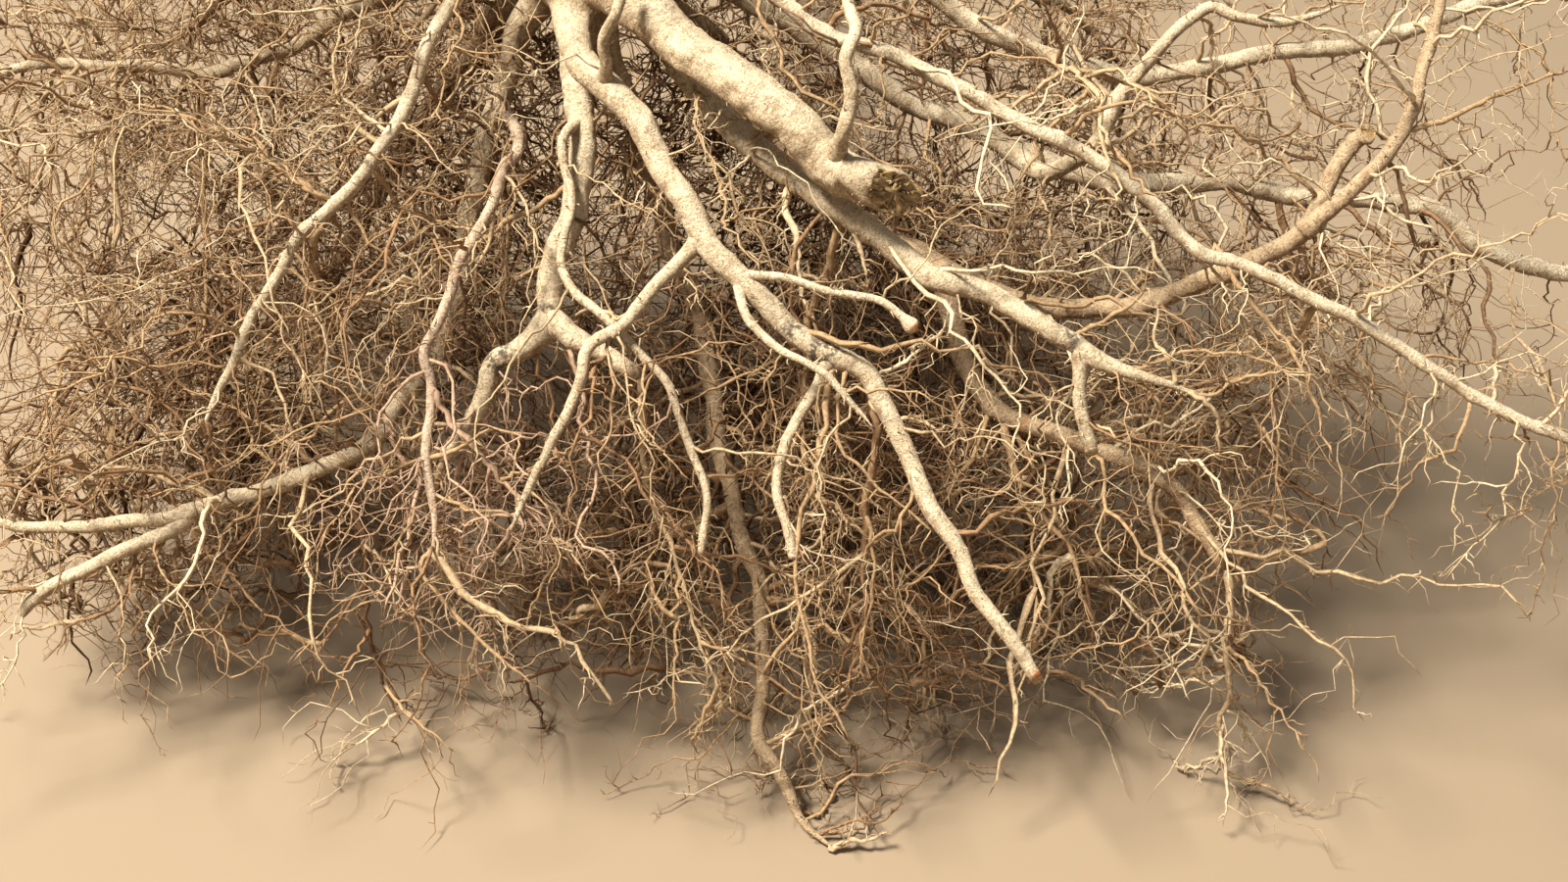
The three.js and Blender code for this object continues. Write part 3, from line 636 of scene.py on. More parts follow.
def root_bark(name, tones):
    """Bark of one tone, with its marks."""
    material, tree, shader = new_material(name, 0.92)
    grain = wire(tree, "Attribute", attribute_name="grain").outputs["Vector"]
    marks = wire(tree, "Attribute", attribute_name="marks").outputs["Vector"]
    cut, scuffs, scrapes = wire(tree, "SeparateXYZ", {"Vector": marks}).outputs
    deep, body, dust_and_lit_top = (colour(*tones[tone]) for tone in ("deep", "body", "dust_and_lit_top"))
    found = bark_patterns(tree, grain)

    def share(kind, pattern):
        """How much of a layer shows where its pattern has some value."""
        return remapped(tree, pattern, *BARK_RANGES[kind])

    def soft(kind):
        """One of the soft patterns."""
        return clouds(tree, grain, **BARK_NOISE[kind])

    bare = soft("bare")
    # The palest tone is laid on upward-facing bark: partly a dusting of soil, partly painted light from
    # above.
    upward = wire(tree, "SeparateXYZ", {"Vector": wire(tree, "NewGeometry").outputs["Normal"]}).outputs[2]
    dust_and_top_light = math_of(tree, "ADD", math_of(tree, "MULTIPLY_ADD", upward, *DUST_AND_TOP_LIGHT_BY_SLOPE), soft("dust_and_top_light"))
    motes = share("motes", cells(tree, grain, BARK_CELLS["motes"]))
    rubbed = share("rubbed", soft("rubbed"))
    wood = layered(tree, CUT_DARK, [(share("fibres", soft("fibres")), CUT_PALE)])
    base = layered(tree, deep, [
        (share("patches", soft("patches")), body),
        (share("bare", bare), deep),
        (product(tree, share("edges", found["scales"]), share("worn", bare)), deep),
        (share("dust_and_top_light", dust_and_top_light), dust_and_lit_top),
        (share("furrows", found["furrows"]), deep),
        (share("cracks", found["cracks"]), deep),
        (product(tree, share("pits", found["pits"]), share("pitted", soft("pitted"))), deep),
        (share("dark_grit", found["grit"]), deep),
        (share("pale_grit", found["grit"]), dust_and_lit_top),
        (product(tree, motes, share("strewn", soft("strewn"))), SPECK_COLOUR),
        (share("scuffs", product(tree, scuffs, rubbed)), SCUFF_COLOUR),
        (share("scrapes", product(tree, scrapes, rubbed)), SCRAPE_COLOUR),
        (cut, wood),
    ])
    finish_shader(tree, shader, base, found, ROOT_BUMP)
    return material


bark = {name: root_bark(name, tones) for name, tones in BARK_TONES.items()}
print(len(bark), "root barks")

# %% The stem's bark
STEM_TONES = {"shade": colour(0.095, 0.072, 0.052), "body": colour(0.235, 0.195, 0.15),
              "pale": colour(0.40, 0.35, 0.285), "pore": colour(0.43, 0.33, 0.22)}
STEM_STRETCH = {"patches": (1, 1, 0.35), "film": (1.5, 1.5, 0.5), "pores": (0.9, 0.9, 3.2)}
STEM_BUMP = {"strength": 0.6, "depth": 0.0008, "sheen": 0.35,
             "weights": {"furrows": 0.8, "pores": 0.9, "cracks": 0.15, "grit": 0.4}}
STEM_RANGES = {"patches": (0.32, 0.62), "film": (0.48, 0.68), "furrows": (0.30, 0.5, 0.55, 0.0),
               "pores": (0.10, 0.17, 1.0, 0.0)}
PORES = {"scale": 1.6, "share": 0.75}


def stem_bark(name):
    """Smooth grey-brown bark with pale pores."""
    material, tree, shader = new_material(name, 0.8)
    grain = wire(tree, "Attribute", attribute_name="grain").outputs["Vector"]
    found = bark_patterns(tree, grain)
    long_patches, long_film, wide_pores = (stretched(tree, grain, scale) for scale in STEM_STRETCH.values())
    patches = clouds(tree, long_patches, 0.7, detail=5)
    film = clouds(tree, long_film, 1.2, detail=6, roughness=0.65)
    pores = remapped(tree, cells(tree, wide_pores, PORES["scale"]), *STEM_RANGES["pores"])
    base = layered(tree, STEM_TONES["shade"], [
        (remapped(tree, patches, *STEM_RANGES["patches"]), STEM_TONES["body"]),
        (remapped(tree, film, *STEM_RANGES["film"]), STEM_TONES["pale"]),
        (remapped(tree, found["furrows"], *STEM_RANGES["furrows"]), STEM_TONES["shade"]),
        (product(tree, pores, PORES["share"]), STEM_TONES["pore"]),
    ])
    finish_shader(tree, shader, base, {**found, "pores": pores}, STEM_BUMP)
    return material


bark["stem_bark"] = stem_bark("grey_stem_bark")
print(len(bark), "barks")

# %% [markdown]
# ## Side rootlets are planned first
# Fine rootlets leave each root in a spiral, and the bark swells into a small collar round each
# one. The collars need the rootlets' places, so every limb's side rootlets are worked out before
# its bark is. How many a root carries follows the photograph: few on the thick front roots, and
# many on the slim ones and on those behind.

# %% Places of the side rootlets
SIDE = {"first": 0.12, "turn": 137.5, "turn_spread": 40, "gap": 9.5, "jitter": 0.6, "thinnest": 1.2,
        "thicker": 2.6, "of_root": 0.42}
BUSHY = {"root_front_long": 0.35, "root_thick_stub": 0.25, "root_down": 0.5, "root_right_low": 0.5,
         "root_riser": 0.4, "root_front_knob": 0.7, "root_slim_front": 0.8, "root_cross": 0.7,
         "root_left_far": 1.7, "root_left_sweep": 1.3, "root_up_left": 1.4, "root_left_low": 1.3,
         "root_tap": 1.3, "root_right_under": 1.4, "root_right_rear": 1.2}


def plan_sides(name):
    """Share, turn and width of each rootlet that leaves a root, on the root's spiral."""
    draw = seeded(name + "_sides")
    count = int(limbs[name]["length"] / SIDE["gap"] * BUSHY.get(name, 1.0))
    sides = []
    for side in range(count):
        share = SIDE["first"] + (1 - SIDE["first"]) * (side + SIDE["jitter"] * next(draw)) / count
        turn = math.radians(side * SIDE["turn"] + SIDE["turn_spread"] * next(draw))
        widest = float(limbs[name]["width_at"](share)) * SIDE["of_root"]
        sides.append((share, turn, min(widest, SIDE["thinnest"] + SIDE["thicker"] * next(draw) ** 2)))
    return np.array(sides).reshape(-1, 3)


for name in ALL_ROOTS:
    limbs[name]["sides"] = plan_sides(name)
print(sum(len(limbs[name]["sides"]) for name in ALL_ROOTS), "side rootlets planned")

# %% [markdown]
# ## Bark round a limb
# A limb could be a curve with a bevel, but then its skin would be perfectly smooth. Here a flat
# grid is rolled into a tube: one side of the grid becomes the turn round the limb, the other its
# length. Each ring is carried to its place on the centreline, which also wanders a little, as
# roots do. The seam is welded, and both ends are closed. The skin is then pushed in
# and out by noise that is measured on the straightened limb: long swellings, lumps, wrinkles,
# and a collar round each rootlet.

# %% Roll a grid into a limb
RING_STEP = 2.0
STEM_RING_STEP = 3.2
CROOK = {"size": 1.25, "fade_in": 60, "fade_out": 30, "at_tip": 0.15, "back_to_line": 40}
CROOK_WAVES = ((1 / 17, 0.8), (1 / 52, 1.9))
FAR_APART = {"crooks": 1000, "skins": 50, "grains": 40}


def noise_along(places, scale, shift=0.0):
    """Smooth noise from about -1 to 1 at each place."""
    return np.array([noise.noise(Vector(place)) for place in places * scale + shift])


def crooked(points, name):
    """A centreline with the small crooks of a real root, from its parent's line."""
    along = distances_along(points)
    fade = np.minimum(1, along / CROOK["fade_in"])
    fade = fade * np.minimum(1, (along[-1] - along) / CROOK["fade_out"] + CROOK["at_tip"])
    offsets = np.zeros_like(points)
    draw = seeded(name + "_crooks")
    for axis in range(3):
        row = FAR_APART["crooks"] * next(draw)
        for per_millimetre, size in CROOK_WAVES:
            wave = [noise.noise((way * per_millimetre, row, 0.5)) for way in along]
            offsets[:, axis] += size * np.array(wave)
    points = points + offsets * (CROOK["size"] * fade)[:, None]
    parent, share = limbs.get(limbs[name]["parent"]), limbs[name]["share"]
    if parent:
        strayed = point_along(parent["line"], share) - point_along(parent["points"], share)
        points = points + strayed * np.exp(-along / CROOK["back_to_line"])[:, None]
    return points


def grid_corners(sides, rings):
    """A flat grid, and for each of its corners the turn round the limb and the ring."""
    form = bmesh.new()
    bmesh.ops.create_grid(form, x_segments=sides, y_segments=rings, size=0.5)
    flat = np.array([corner.co[:2] for corner in form.verts]) + 0.5
    return form, flat[:, 0] * 2 * np.pi, np.rint(flat[:, 1] * rings).astype(int)


# %% The relief of the skin
SWELLINGS = {
    "long": {"size": 0.07, "per_millimetre": 1 / 34, "narrow": 0.3, "shift": 0},
    "lumps": {"size": 0.09, "per_millimetre": 1 / 11, "narrow": 1, "shift": 9},
    "knots": {"size": 0.09, "per_millimetre": 1 / 5, "narrow": 1, "shift": 15},
}
WRINKLES = {"size": 0.30, "per_millimetre": 1 / 2.6, "narrow": 0.25, "shift": 21, "from": 0.12}
COLLAR = {"spread": 0.95, "height": 0.34}


def skin_noise(straight, habit, shift):
    """One size of swelling on a straightened limb."""
    narrow = (habit["narrow"], habit["narrow"], 1)
    return noise_along(straight * narrow, habit["per_millimetre"], shift + habit["shift"])


def skin_relief(name, straight, turns, radius, length):
    """How far the skin stands out of a plain cone, as a share of the radius."""
    shift = FAR_APART["skins"] * next(seeded(name + "_skin"))
    out = sum(habit["size"] * skin_noise(straight, habit, shift) for habit in SWELLINGS.values())
    wrinkled = np.minimum(0, skin_noise(straight, WRINKLES, shift) + WRINKLES["from"])
    out += WRINKLES["size"] * wrinkled / np.maximum(radius, 1)
    for place, turn, width in limbs[name].get("sides", ()):
        apart = (straight[:, 2] - place * length) ** 2
        swing = np.abs((turns - turn + np.pi) % (2 * np.pi) - np.pi) * radius
        near = np.exp(-(apart + swing**2) / (COLLAR["spread"] * width) ** 2)
        out += COLLAR["height"] * width * near / radius
    return out


# %% How each limb ends
CUT_ENDS = {
    "root_front_long": (0.5, -0.9, -0.1), "root_right_stub": (0.2, -1, -0.6),
    "root_left_low": (-1, -0.5, 0.2), "root_right_under": (0.9, -0.8, 0.1),
    "root_left_fork": (-1, -0.3, 0.3), "root_right_fork": (0.2, 0, 1), "root_right_rear": (0.5, -0.3, 0.9),
    "root_riser": (0.2, 0.1, 1), "root_front_riser": (0.1, 0.2, 1), "root_right_far": (1, -0.6, 0.1),
    "root_prop_left": (-1, 0.4, 0.3), "root_prop_right": (1, 0.4, 0.3), "root_front_curl": (0, -0.7, -0.7),
}
TORN_ENDS = {"root_thick_stub": (0.35, -0.9, 0.25)}
ROUND_ENDS = ("root_down", "root_down_left", "root_down_right", "root_slim_front", "root_front_knob",
              "stem", "branch_left", "branch_right", "branch_up")
KNOB_ENDS = {"root_front_knob": {"swell": 1.1, "reach": 4}}
CUT_RIM = {"narrowing": 0.10, "reach": 1.2}
ROUNDING = {"reach": 0.9, "smallest": 0.02}
POINT = {"reach": 7, "smallest": 0.10, "fullness": 0.55}
STEEPEST_CUT = 1.1
TORN_SHORT = 0.2
SLANT = {"least": 0.45, "reach": 1.2}


def end_profile(name, left, tip):
    """The share of the full radius that is left near the tip, by how the root ends."""
    if name in CUT_ENDS or name in TORN_ENDS:
        return 1 - CUT_RIM["narrowing"] * np.exp(-left / CUT_RIM["reach"])
    if name in ROUND_ENDS:
        before = 1 - np.minimum(1, left / (ROUNDING["reach"] * tip))
        rounded = np.sqrt(np.clip(1 - before**2, ROUNDING["smallest"], 1))
        knob = KNOB_ENDS.get(name, {"swell": 0, "reach": 1})
        return rounded * (1 + knob["swell"] * np.exp(-((left - knob["reach"]) / knob["reach"]) ** 2))
    return np.clip(left / (POINT["reach"] * tip), POINT["smallest"], 1) ** POINT["fullness"]


def slant(name, spokes, ahead, left, tip):
    """How far a cut or torn end leans forward at each corner, in radii."""
    facing = CUT_ENDS.get(name, TORN_ENDS.get(name))
    if not facing:
        return np.zeros(len(spokes))
    facing = unit(np.array(facing, float))
    slope = -(spokes @ facing) / max(SLANT["least"], ahead @ facing)
    shortened = TORN_SHORT if name in TORN_ENDS else STEEPEST_CUT
    slope = np.clip(slope, -STEEPEST_CUT, STEEPEST_CUT) - shortened
    return slope * np.exp(-(left / (SLANT["reach"] * tip)) ** 2)


# %% Close the ends of a limb
CUT_RINGS = ((0.93, -0.02), (0.85, -0.06), (0.70, 0.03), (0.56, -0.03))
TORN_RINGS = ((0.96, 0.03), (0.93, -0.03), (0.91, -0.03), (0.89, 0.02), (0.87, -0.02), (0.85, 0.03),
              (0.82, -0.02), (0.78, 0.02), (0.7, 0.02))
CUT_MARK = (1.0, 0.0, 0.0)
TORN_MARK = (0.95, 0.3, 0.0)
RAGGED = {"grain": 1.9, "size": 0.08}


def close_end(form, edge_loop, marks, rings=()):
    """Fills an open end, and sinks it in rings so that the wood inside the bark shows."""
    face = bmesh.ops.holes_fill(form, edges=edge_loop, sides=0)["faces"][0]
    if not rings:
        return
    width = face.calc_perimeter() / math.pi
    torn = rings is TORN_RINGS
    middle = face.calc_center_median()
    beside = [other for edge in face.edges for other in edge.link_faces if other != face]
    outward = sum((middle - other.calc_center_median() for other in beside), Vector()).normalized()
    for scale, depth in rings:
        bmesh.ops.inset_individual(form, faces=[face], thickness=0, depth=0)
        for corner in face.verts:
            corner.co = middle.lerp(corner.co, scale) + outward * width * depth
            corner[marks] = TORN_MARK if torn else CUT_MARK
            if torn:
                corner.co += noise.noise_vector(corner.co * 1000 / RAGGED["grain"]) * width * RAGGED["size"]
    bmesh.ops.poke(form, faces=[face])


# %% Put the skin on a limb
MARKS = {
    "root_front_long": [("scuff", 0.53, 8), ("scuff", 0.57, 11), ("scrape", 1.0, 9)],
    "root_down_left": [("scuff", 0.35, 11)],
    "root_down": [("scuff", 0.97, 8)],
    "root_right_low": [("scuff", 0.83, 8)],
    "root_right_under": [("scrape", 0.44, 5)],
    "root_right_fork": [("scrape", 1.0, 10)],
    "root_front_knob": [("scrape", 1.0, 5)],
}
FORK_COLLAR = {"swell": 0.42, "reach": 0.95}
GRAIN_UNIT = 10
WELD = 1e-6
FOOT_REACH = 0.003
FEWEST_SIDES = 12
THINNEST_RADIUS = 0.4
OFF_THE_GROUND = 0.2


def marks_at(name, places, line):
    """Cut, scuffed and scraped shares at each place on a limb's skin."""
    made = np.zeros((len(places), 3))
    for kind, share, reach in MARKS.get(name, ()):
        middle = point_along(line, share)
        near = np.exp(-np.sum((places - middle) ** 2, axis=1) / reach**2)
        column = {"scuff": 1, "scrape": 2}[kind]
        made[:, column] = np.maximum(made[:, column], near)
    return made


def mesh_of(form, name):
    """A finished form as a smooth mesh whose faces point outwards."""
    bmesh.ops.recalc_face_normals(form, faces=form.faces)
    for face in form.faces:
        face.smooth = True
    mesh = bpy.data.meshes.new(name)
    form.to_mesh(mesh)
    form.free()
    return mesh


def dress(mesh, material, slot, *nodes):
    """Makes a mesh a piece of the plant that stands for some of its solids."""
    mesh.materials.append(material)
    piece = linked(mesh.name, mesh)
    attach(piece, "root")
    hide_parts(*nodes)


def radius_along(name, share, length):
    """A limb's radius with the collar where it leaves its parent, and with its end."""
    facts = limbs[name]
    foot, tip = facts["width"]
    radius = facts["width_at"](share) / 2
    if facts["parent"] and facts["parent"] != "stem":
        girth = float(limbs[facts["parent"]]["width_at"](facts["share"])) / 2
        outside = np.maximum(0, share * length - girth)
        radius = radius * (1 + FORK_COLLAR["swell"] * np.exp(-outside / (FORK_COLLAR["reach"] * foot)))
    return radius * end_profile(name, (1 - share) * length, tip)


def skin_limb(name, material, slot, step=RING_STEP):
    """Bark round one limb, as one closed piece that stands for its solid."""
    facts = limbs[name]
    foot, tip = facts["width"]
    points, length = centreline(name, facts["start"], facts["bends"], facts["width_at"], step)
    points = crooked(points, name)
    facts["line"] = points
    ahead, side, across = frames(points)
    rings = len(points) - 1
    form, turns, ring = grid_corners(max(FEWEST_SIDES, round(math.pi * foot / step)), rings)
    share = ring / rings
    radius = radius_along(name, share, length)
    straight = np.column_stack([radius * np.cos(turns), radius * np.sin(turns), share * length])
    out = skin_relief(name, straight, turns, np.maximum(radius, THINNEST_RADIUS), length)
    spokes = round_about(turns, side[ring], across[ring])
    places = points[ring] + spokes * (radius * (1 + out))[:, None]
    places += ahead[-1] * (slant(name, spokes, ahead[-1], (1 - share) * length, tip) * radius)[:, None]
    places[:, 2] = np.maximum(places[:, 2], OFF_THE_GROUND - CROWN_HEIGHT)

    grain = form.verts.layers.float_vector.new("grain")
    marks = form.verts.layers.float_vector.new("marks")
    shift = FAR_APART["grains"] * next(seeded(name + "_grain"))
    found = marks_at(name, places, points)
    in_frame = to_frame(places)
    for corner, place, flat, mark in zip(form.verts, in_frame, straight / GRAIN_UNIT + shift, found):
        corner.co = place
        corner[grain] = flat
        corner[marks] = mark
    bmesh.ops.remove_doubles(form, verts=form.verts, dist=WELD)
    open_edges = [edge for edge in form.edges if edge.is_boundary]
    foot_place = Vector(in_frame[np.argmin(ring)])
    reach = FOOT_REACH * float(facts["width_at"](0))
    foot_loop = [edge for edge in open_edges if (edge.verts[0].co - foot_place).length < reach]
    tip_loop = [edge for edge in open_edges if edge not in foot_loop]
    close_end(form, foot_loop, marks)
    sunk = CUT_RINGS if name in CUT_ENDS else TORN_RINGS if name in TORN_ENDS else ()
    close_end(form, tip_loop, marks, sunk)
    dress(mesh_of(form, name + "_bark"), material, slot, name)


# %% The roots
# The darker russet bark on the right under and right rear roots is painted shade, as they lie in shade under
# the heap.
TONE_OF_ROOT = {
    "root_right_long": "cream_bark", "root_right_top": "cream_bark", "root_right_rear": "russet_bark",
    "root_right_fork": "russet_bark", "root_right_under": "russet_bark", "root_right_far": "cream_bark",
    "root_slim_left": "pink_bark", "root_left_sweep": "cream_bark", "root_tap": "russet_bark",
    "root_front_wisp": "cream_bark", "root_front_knob": "cream_bark", "root_back_left": "russet_bark",
    "root_prop_left": "russet_bark", "root_prop_right": "russet_bark",
}
for name in ALL_ROOTS:
    skin_limb(name, bark[TONE_OF_ROOT.get(name, "tan_bark")], "root_bark")
print("corners on the roots", sum(len(bpy.data.meshes[name + "_bark"].vertices) for name in ALL_ROOTS))

# %% [markdown]
# ## The root crown and the stem
# Where a young tree's roots meet its stem the wood flows together: each root starts in a flare
# that grows out of the burl, and the stem rises from it with a flare of its own. Separate tubes
# would meet in hard creases. So the burl, the start of each root and the foot of the stem are
# first put together as overlapping forms, then remeshed into one skin with a voxel remesh, and
# smoothed until the creases fill. The flares end just under the bark of the roots, so that each
# root seems to grow out of the crown.

# %% The forms that are fused into the crown
BASE = {"reach": 125, "burl": 48, "under": 0.93, "flare": 0.55, "fade": 26, "step": 6, "sides": 18}
STEM_FOOT = {"reach": 230, "over": 1.03, "under": 0.985, "blend": 1.2, "sides": 40, "skip": 3}


def add_tube(form, points, radii, sides):
    """Adds a closed plain tube along a line to a form."""
    ahead, side, across = frames(points)
    tube, turns, ring = grid_corners(sides, len(points) - 1)
    spokes = round_about(turns, side[ring], across[ring])
    for corner, place in zip(tube.verts, to_frame(points[ring] + spokes * radii[ring][:, None])):
        corner.co = place
    bmesh.ops.remove_doubles(tube, verts=tube.verts, dist=WELD)
    bmesh.ops.holes_fill(tube, edges=[edge for edge in tube.edges if edge.is_boundary], sides=0)
    part = mesh_of(tube, "part")
    form.from_mesh(part)
    bpy.data.meshes.remove(part)


def burl_form():
    """The egg-shaped burl, which bulges under each of its roots."""
    form = bmesh.new()
    bmesh.ops.create_icosphere(form, subdivisions=4, radius=1)
    lobes = unit(np.array([spec["bends"][0] for spec in ROOTS.values()], float))
    ways = unit(np.array([corner.co for corner in form.verts]))
    nearest = np.maximum(0, (ways @ lobes.T).max(axis=1))
    swell = CROWN_LOBE["waist"] + CROWN_LOBE["swell"] * nearest ** CROWN_LOBE["sharpness"]
    for corner, place in zip(form.verts, to_frame(ways * CROWN_HALF * swell[:, None])):
        corner.co = place
    return form


def first_part(name):
    """The first part of a root's line, its distances and its radii there."""
    facts = limbs[name]
    line, length = facts["line"], facts["length"]
    keep = max(4, int(len(line) * min(1, BASE["reach"] / length)))
    chosen = np.arange(0, keep, round(BASE["step"] / RING_STEP))
    distances = chosen / (len(line) - 1) * length
    return line[chosen], distances, facts["width_at"](distances / length) / 2


# %% Fuse the crown
CROWN_VOXEL = 0.0022
CROWN_ROUNDS = 7

crown_form = burl_form()
for name in ROOTS:
    line, distances, radii = first_part(name)
    flare = BASE["under"] + BASE["flare"] * np.exp(-np.maximum(0, distances - BASE["burl"]) / BASE["fade"])
    add_tube(crown_form, line, radii * flare, BASE["sides"])
stem_line, stem_length = centreline("stem", np.zeros(3), STEM_BENDS, stem_width, STEM_RING_STEP)
stem_line = crooked(stem_line, "stem")
steps = np.arange(0, int(len(stem_line) * STEM_FOOT["reach"] / stem_length), STEM_FOOT["skip"])
stem_radii = stem_width(steps / (len(stem_line) - 1)) / 2
sinking = (STEM_FOOT["over"] - STEM_FOOT["under"]) * np.minimum(1, steps / steps[-1] * STEM_FOOT["blend"])
add_tube(crown_form, stem_line[steps], stem_radii * (STEM_FOOT["over"] - sinking), STEM_FOOT["sides"])

rough_crown = linked("rough_crown", mesh_of(crown_form, "rough_crown"))
remesh = rough_crown.modifiers.new("remesh", "REMESH")
remesh.mode = "VOXEL"
remesh.voxel_size = CROWN_VOXEL
fused = bpy.data.meshes.new_from_object(rough_crown.evaluated_get(bpy.context.evaluated_depsgraph_get()))
bpy.data.objects.remove(rough_crown)
crown_form = bmesh.new()
crown_form.from_mesh(fused)
bpy.data.meshes.remove(fused)
for _ in range(CROWN_ROUNDS):
    bmesh.ops.smooth_vert(crown_form, verts=crown_form.verts, factor=0.5, use_axis_x=True,
                          use_axis_y=True, use_axis_z=True)
print("the crown has", len(crown_form.faces), "faces")

# %% Bark on the crown
CROWN_RELIEF = ((1 / 16, 1.1), (1 / 6, 0.5), (1 / 2.6, 0.22))
RELIEF_SHIFT = 7.0

crown_form.normal_update()
grain = crown_form.verts.layers.float_vector.new("grain")
crown_form.verts.layers.float_vector.new("marks")
corners = list(crown_form.verts)
places = np.array([corner.co for corner in corners]) * 1000 - crown_place
normals = np.array([corner.normal for corner in corners])
height = sum(size * noise_along(places, scale, RELIEF_SHIFT) for scale, size in CROWN_RELIEF)
places = places + normals * height[:, None]
for corner, place, flat in zip(corners, to_frame(places), places / GRAIN_UNIT):
    corner.co = place
    corner[grain] = (flat[0], flat[2], flat[1])
dress(mesh_of(crown_form, "root_crown_bark"), bark["tan_bark"], "root_bark", "stem")

# %% The stem and its three branches
skin_limb("stem", bark["stem_bark"], "stem_bark", STEM_RING_STEP)
for name in BRANCHES:
    skin_limb(name, bark["stem_bark"], "stem_bark")
print("stem and", len(BRANCHES), "branches")

# %% [markdown]
# ## The rootlets' rule
# Each mass of rootlets grows from one stem, with side rootlets in a spiral round it, by the rule
# that made the solids. It is written again here, with the same seeds and the same test for
# crowding, so the same rootlets come out. They are then smoothed, and carry finer rootlets, which
# carry hairs.

# %% The habits of a mass
ROOTLET_HABIT = {"steps": 6, "side_steps": 3, "kink": 0.4, "droop": 0.18, "side_share": 0.52,
                 "side_width": 0.55}
TWIG_HABIT = {"steps": 5, "side_steps": 3, "kink": 0.12, "droop": 0, "side_share": 0.55,
              "side_width": 0.6}
SPRAY = {"first_side": 0.2, "turn": 137.5, "turn_spread": 40, "splay": 56, "splay_spread": 24,
         "tip_width": 0.42, "shortening": 0.4, "room": 0.8, "elbow_room": 1.2, "tries": 40,
         "jitter": 0.6, "shortest": 0.75, "longer": 0.5, "checks": 4}
stretches = []


def record_stretches(owner, points, width_at):
    """Keeps a line's stretches, so that later twigs can stay clear of them."""
    radii = width_at(np.arange(len(points) - 1) / (len(points) - 1)) / 2
    for begin, end, radius in zip(points[:-1], points[1:], radii):
        stretches.append((owner, *begin, *end, float(radius)))


def is_crowded(points, width_at, owner):
    """Whether a twig comes too near wood that it doesn't grow from."""
    count = SPRAY["checks"] * (len(points) - 1)
    shares = np.arange(SPRAY["checks"], count + 1) / count
    places = np.array([point_along(points, share) for share in shares])[:, None]
    others = np.array([stretch[1:] for stretch in stretches if stretch[0] != owner])
    begin, line, radius = others[:, :3], others[:, 3:6] - others[:, :3], others[:, 6]
    share = np.clip(((places - begin) * line).sum(-1) / (line**2).sum(-1), 0, 1)
    gaps = np.linalg.norm(begin + share[..., None] * line - places, axis=-1)
    return bool((gaps < radius + (width_at(shares) / 2 + SPRAY["elbow_room"])[:, None]).any())


def twig(draw, start, heading, length, width, steps, habit):
    """One twig, which kinks and droops a little at each step."""
    width_at = taper((width, width * SPRAY["tip_width"]))
    points = [start]
    way = unit(heading)
    for step in range(1, steps + 1):
        kink = np.array([next(draw) - 0.5, next(draw) - 0.5, next(draw) - 0.5])
        way = way + 2 * habit["kink"] * kink - np.array([0, 0, habit["droop"]])
        way = unit(way)
        place = points[-1] + way * length / steps
        place[2] = rest_on_ground(place[2], width_at(step / steps) / 2)
        points.append(place)
    return np.array(points), width_at


def turned(way, axis, angle):
    """A way turned round an axis."""
    return (way * math.cos(angle) + np.cross(axis, way) * math.sin(angle)
            + axis * (axis @ way) * (1 - math.cos(angle)))


def side_twig(draw, stem, spec, side, habit):
    """A side twig of a mass, turned on round the stem from the last one and splayed from it."""
    first = SPRAY["first_side"]
    share = first + (1 - first) * (side + SPRAY["jitter"] * next(draw)) / spec["sides"]
    index = min(habit["steps"] - 1, int(share * habit["steps"]))
    ahead = unit(stem[index + 1] - stem[index])
    aside = unit(np.cross(np.array([-ahead[2], 0.3, ahead[0]]), ahead))
    turn = side * SPRAY["turn"] + SPRAY["turn_spread"] * next(draw)
    aside = turned(aside, ahead, math.radians(turn))
    splay = math.radians(SPRAY["splay"] + SPRAY["splay_spread"] * (next(draw) - 0.5))
    heading = ahead * math.cos(splay) + aside * math.sin(splay)
    reach = spec["reach"] * habit["side_share"] * (1 - SPRAY["shortening"] * share)
    length = reach * (SPRAY["shortest"] + SPRAY["longer"] * next(draw))
    width = spec["width"] * habit["side_width"]
    start = point_along(stem, share)
    return (*twig(draw, start, heading, length, width, habit["side_steps"], habit), length)


def grow_mass(name, spec, habit):
    """The twigs of one mass, as the solid has them, each as (points, foot width, length)."""
    draw = seeded(name)
    parent = spec["parent"]
    start = point_along(limbs[parent]["points"], spec["share"])
    out = np.array(spec["out"], float)
    for _ in range(SPRAY["tries"]):
        stem, width_at = twig(draw, start, out, spec["reach"], spec["width"], habit["steps"], habit)
        if not is_crowded(stem, width_at, parent):
            break
    record_stretches(name, stem, width_at)
    grown = [(stem, spec["width"], spec["reach"])]
    middle = stem[habit["steps"] // 2]
    for side in range(spec["sides"]):
        points, width_at, length = side_twig(draw, stem, spec, side, habit)
        strays = (np.linalg.norm(points - middle, axis=1) > SPRAY["room"] * spec["reach"]).any()
        if strays or is_crowded(points, width_at, name):
            continue
        record_stretches(name, points, width_at)
        grown.append((points, spec["width"] * habit["side_width"], length))
    return grown


# %% Grow the masses of the solids again
for name, facts in limbs.items():
    record_stretches(name, facts["points"], facts["width_at"])
mass_twigs = {name: grow_mass(name, spec, ROOTLET_HABIT) for name, spec in ROOTLET_MASSES.items()}
mass_twigs.update({name: grow_mass(name, spec, TWIG_HABIT) for name, spec in TWIG_MASSES.items()})
strays = []
for name, grown in mass_twigs.items():
    low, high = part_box(name)
    places = to_frame(np.vstack([points[1:] for points, width, length in grown]))
    strays += [(places - np.array(high)).max(), (np.array(low) - places).max()]
print(len(mass_twigs), "masses, out of their solids' boxes by", round(max(0, *strays) * 1000, 2), "mm")

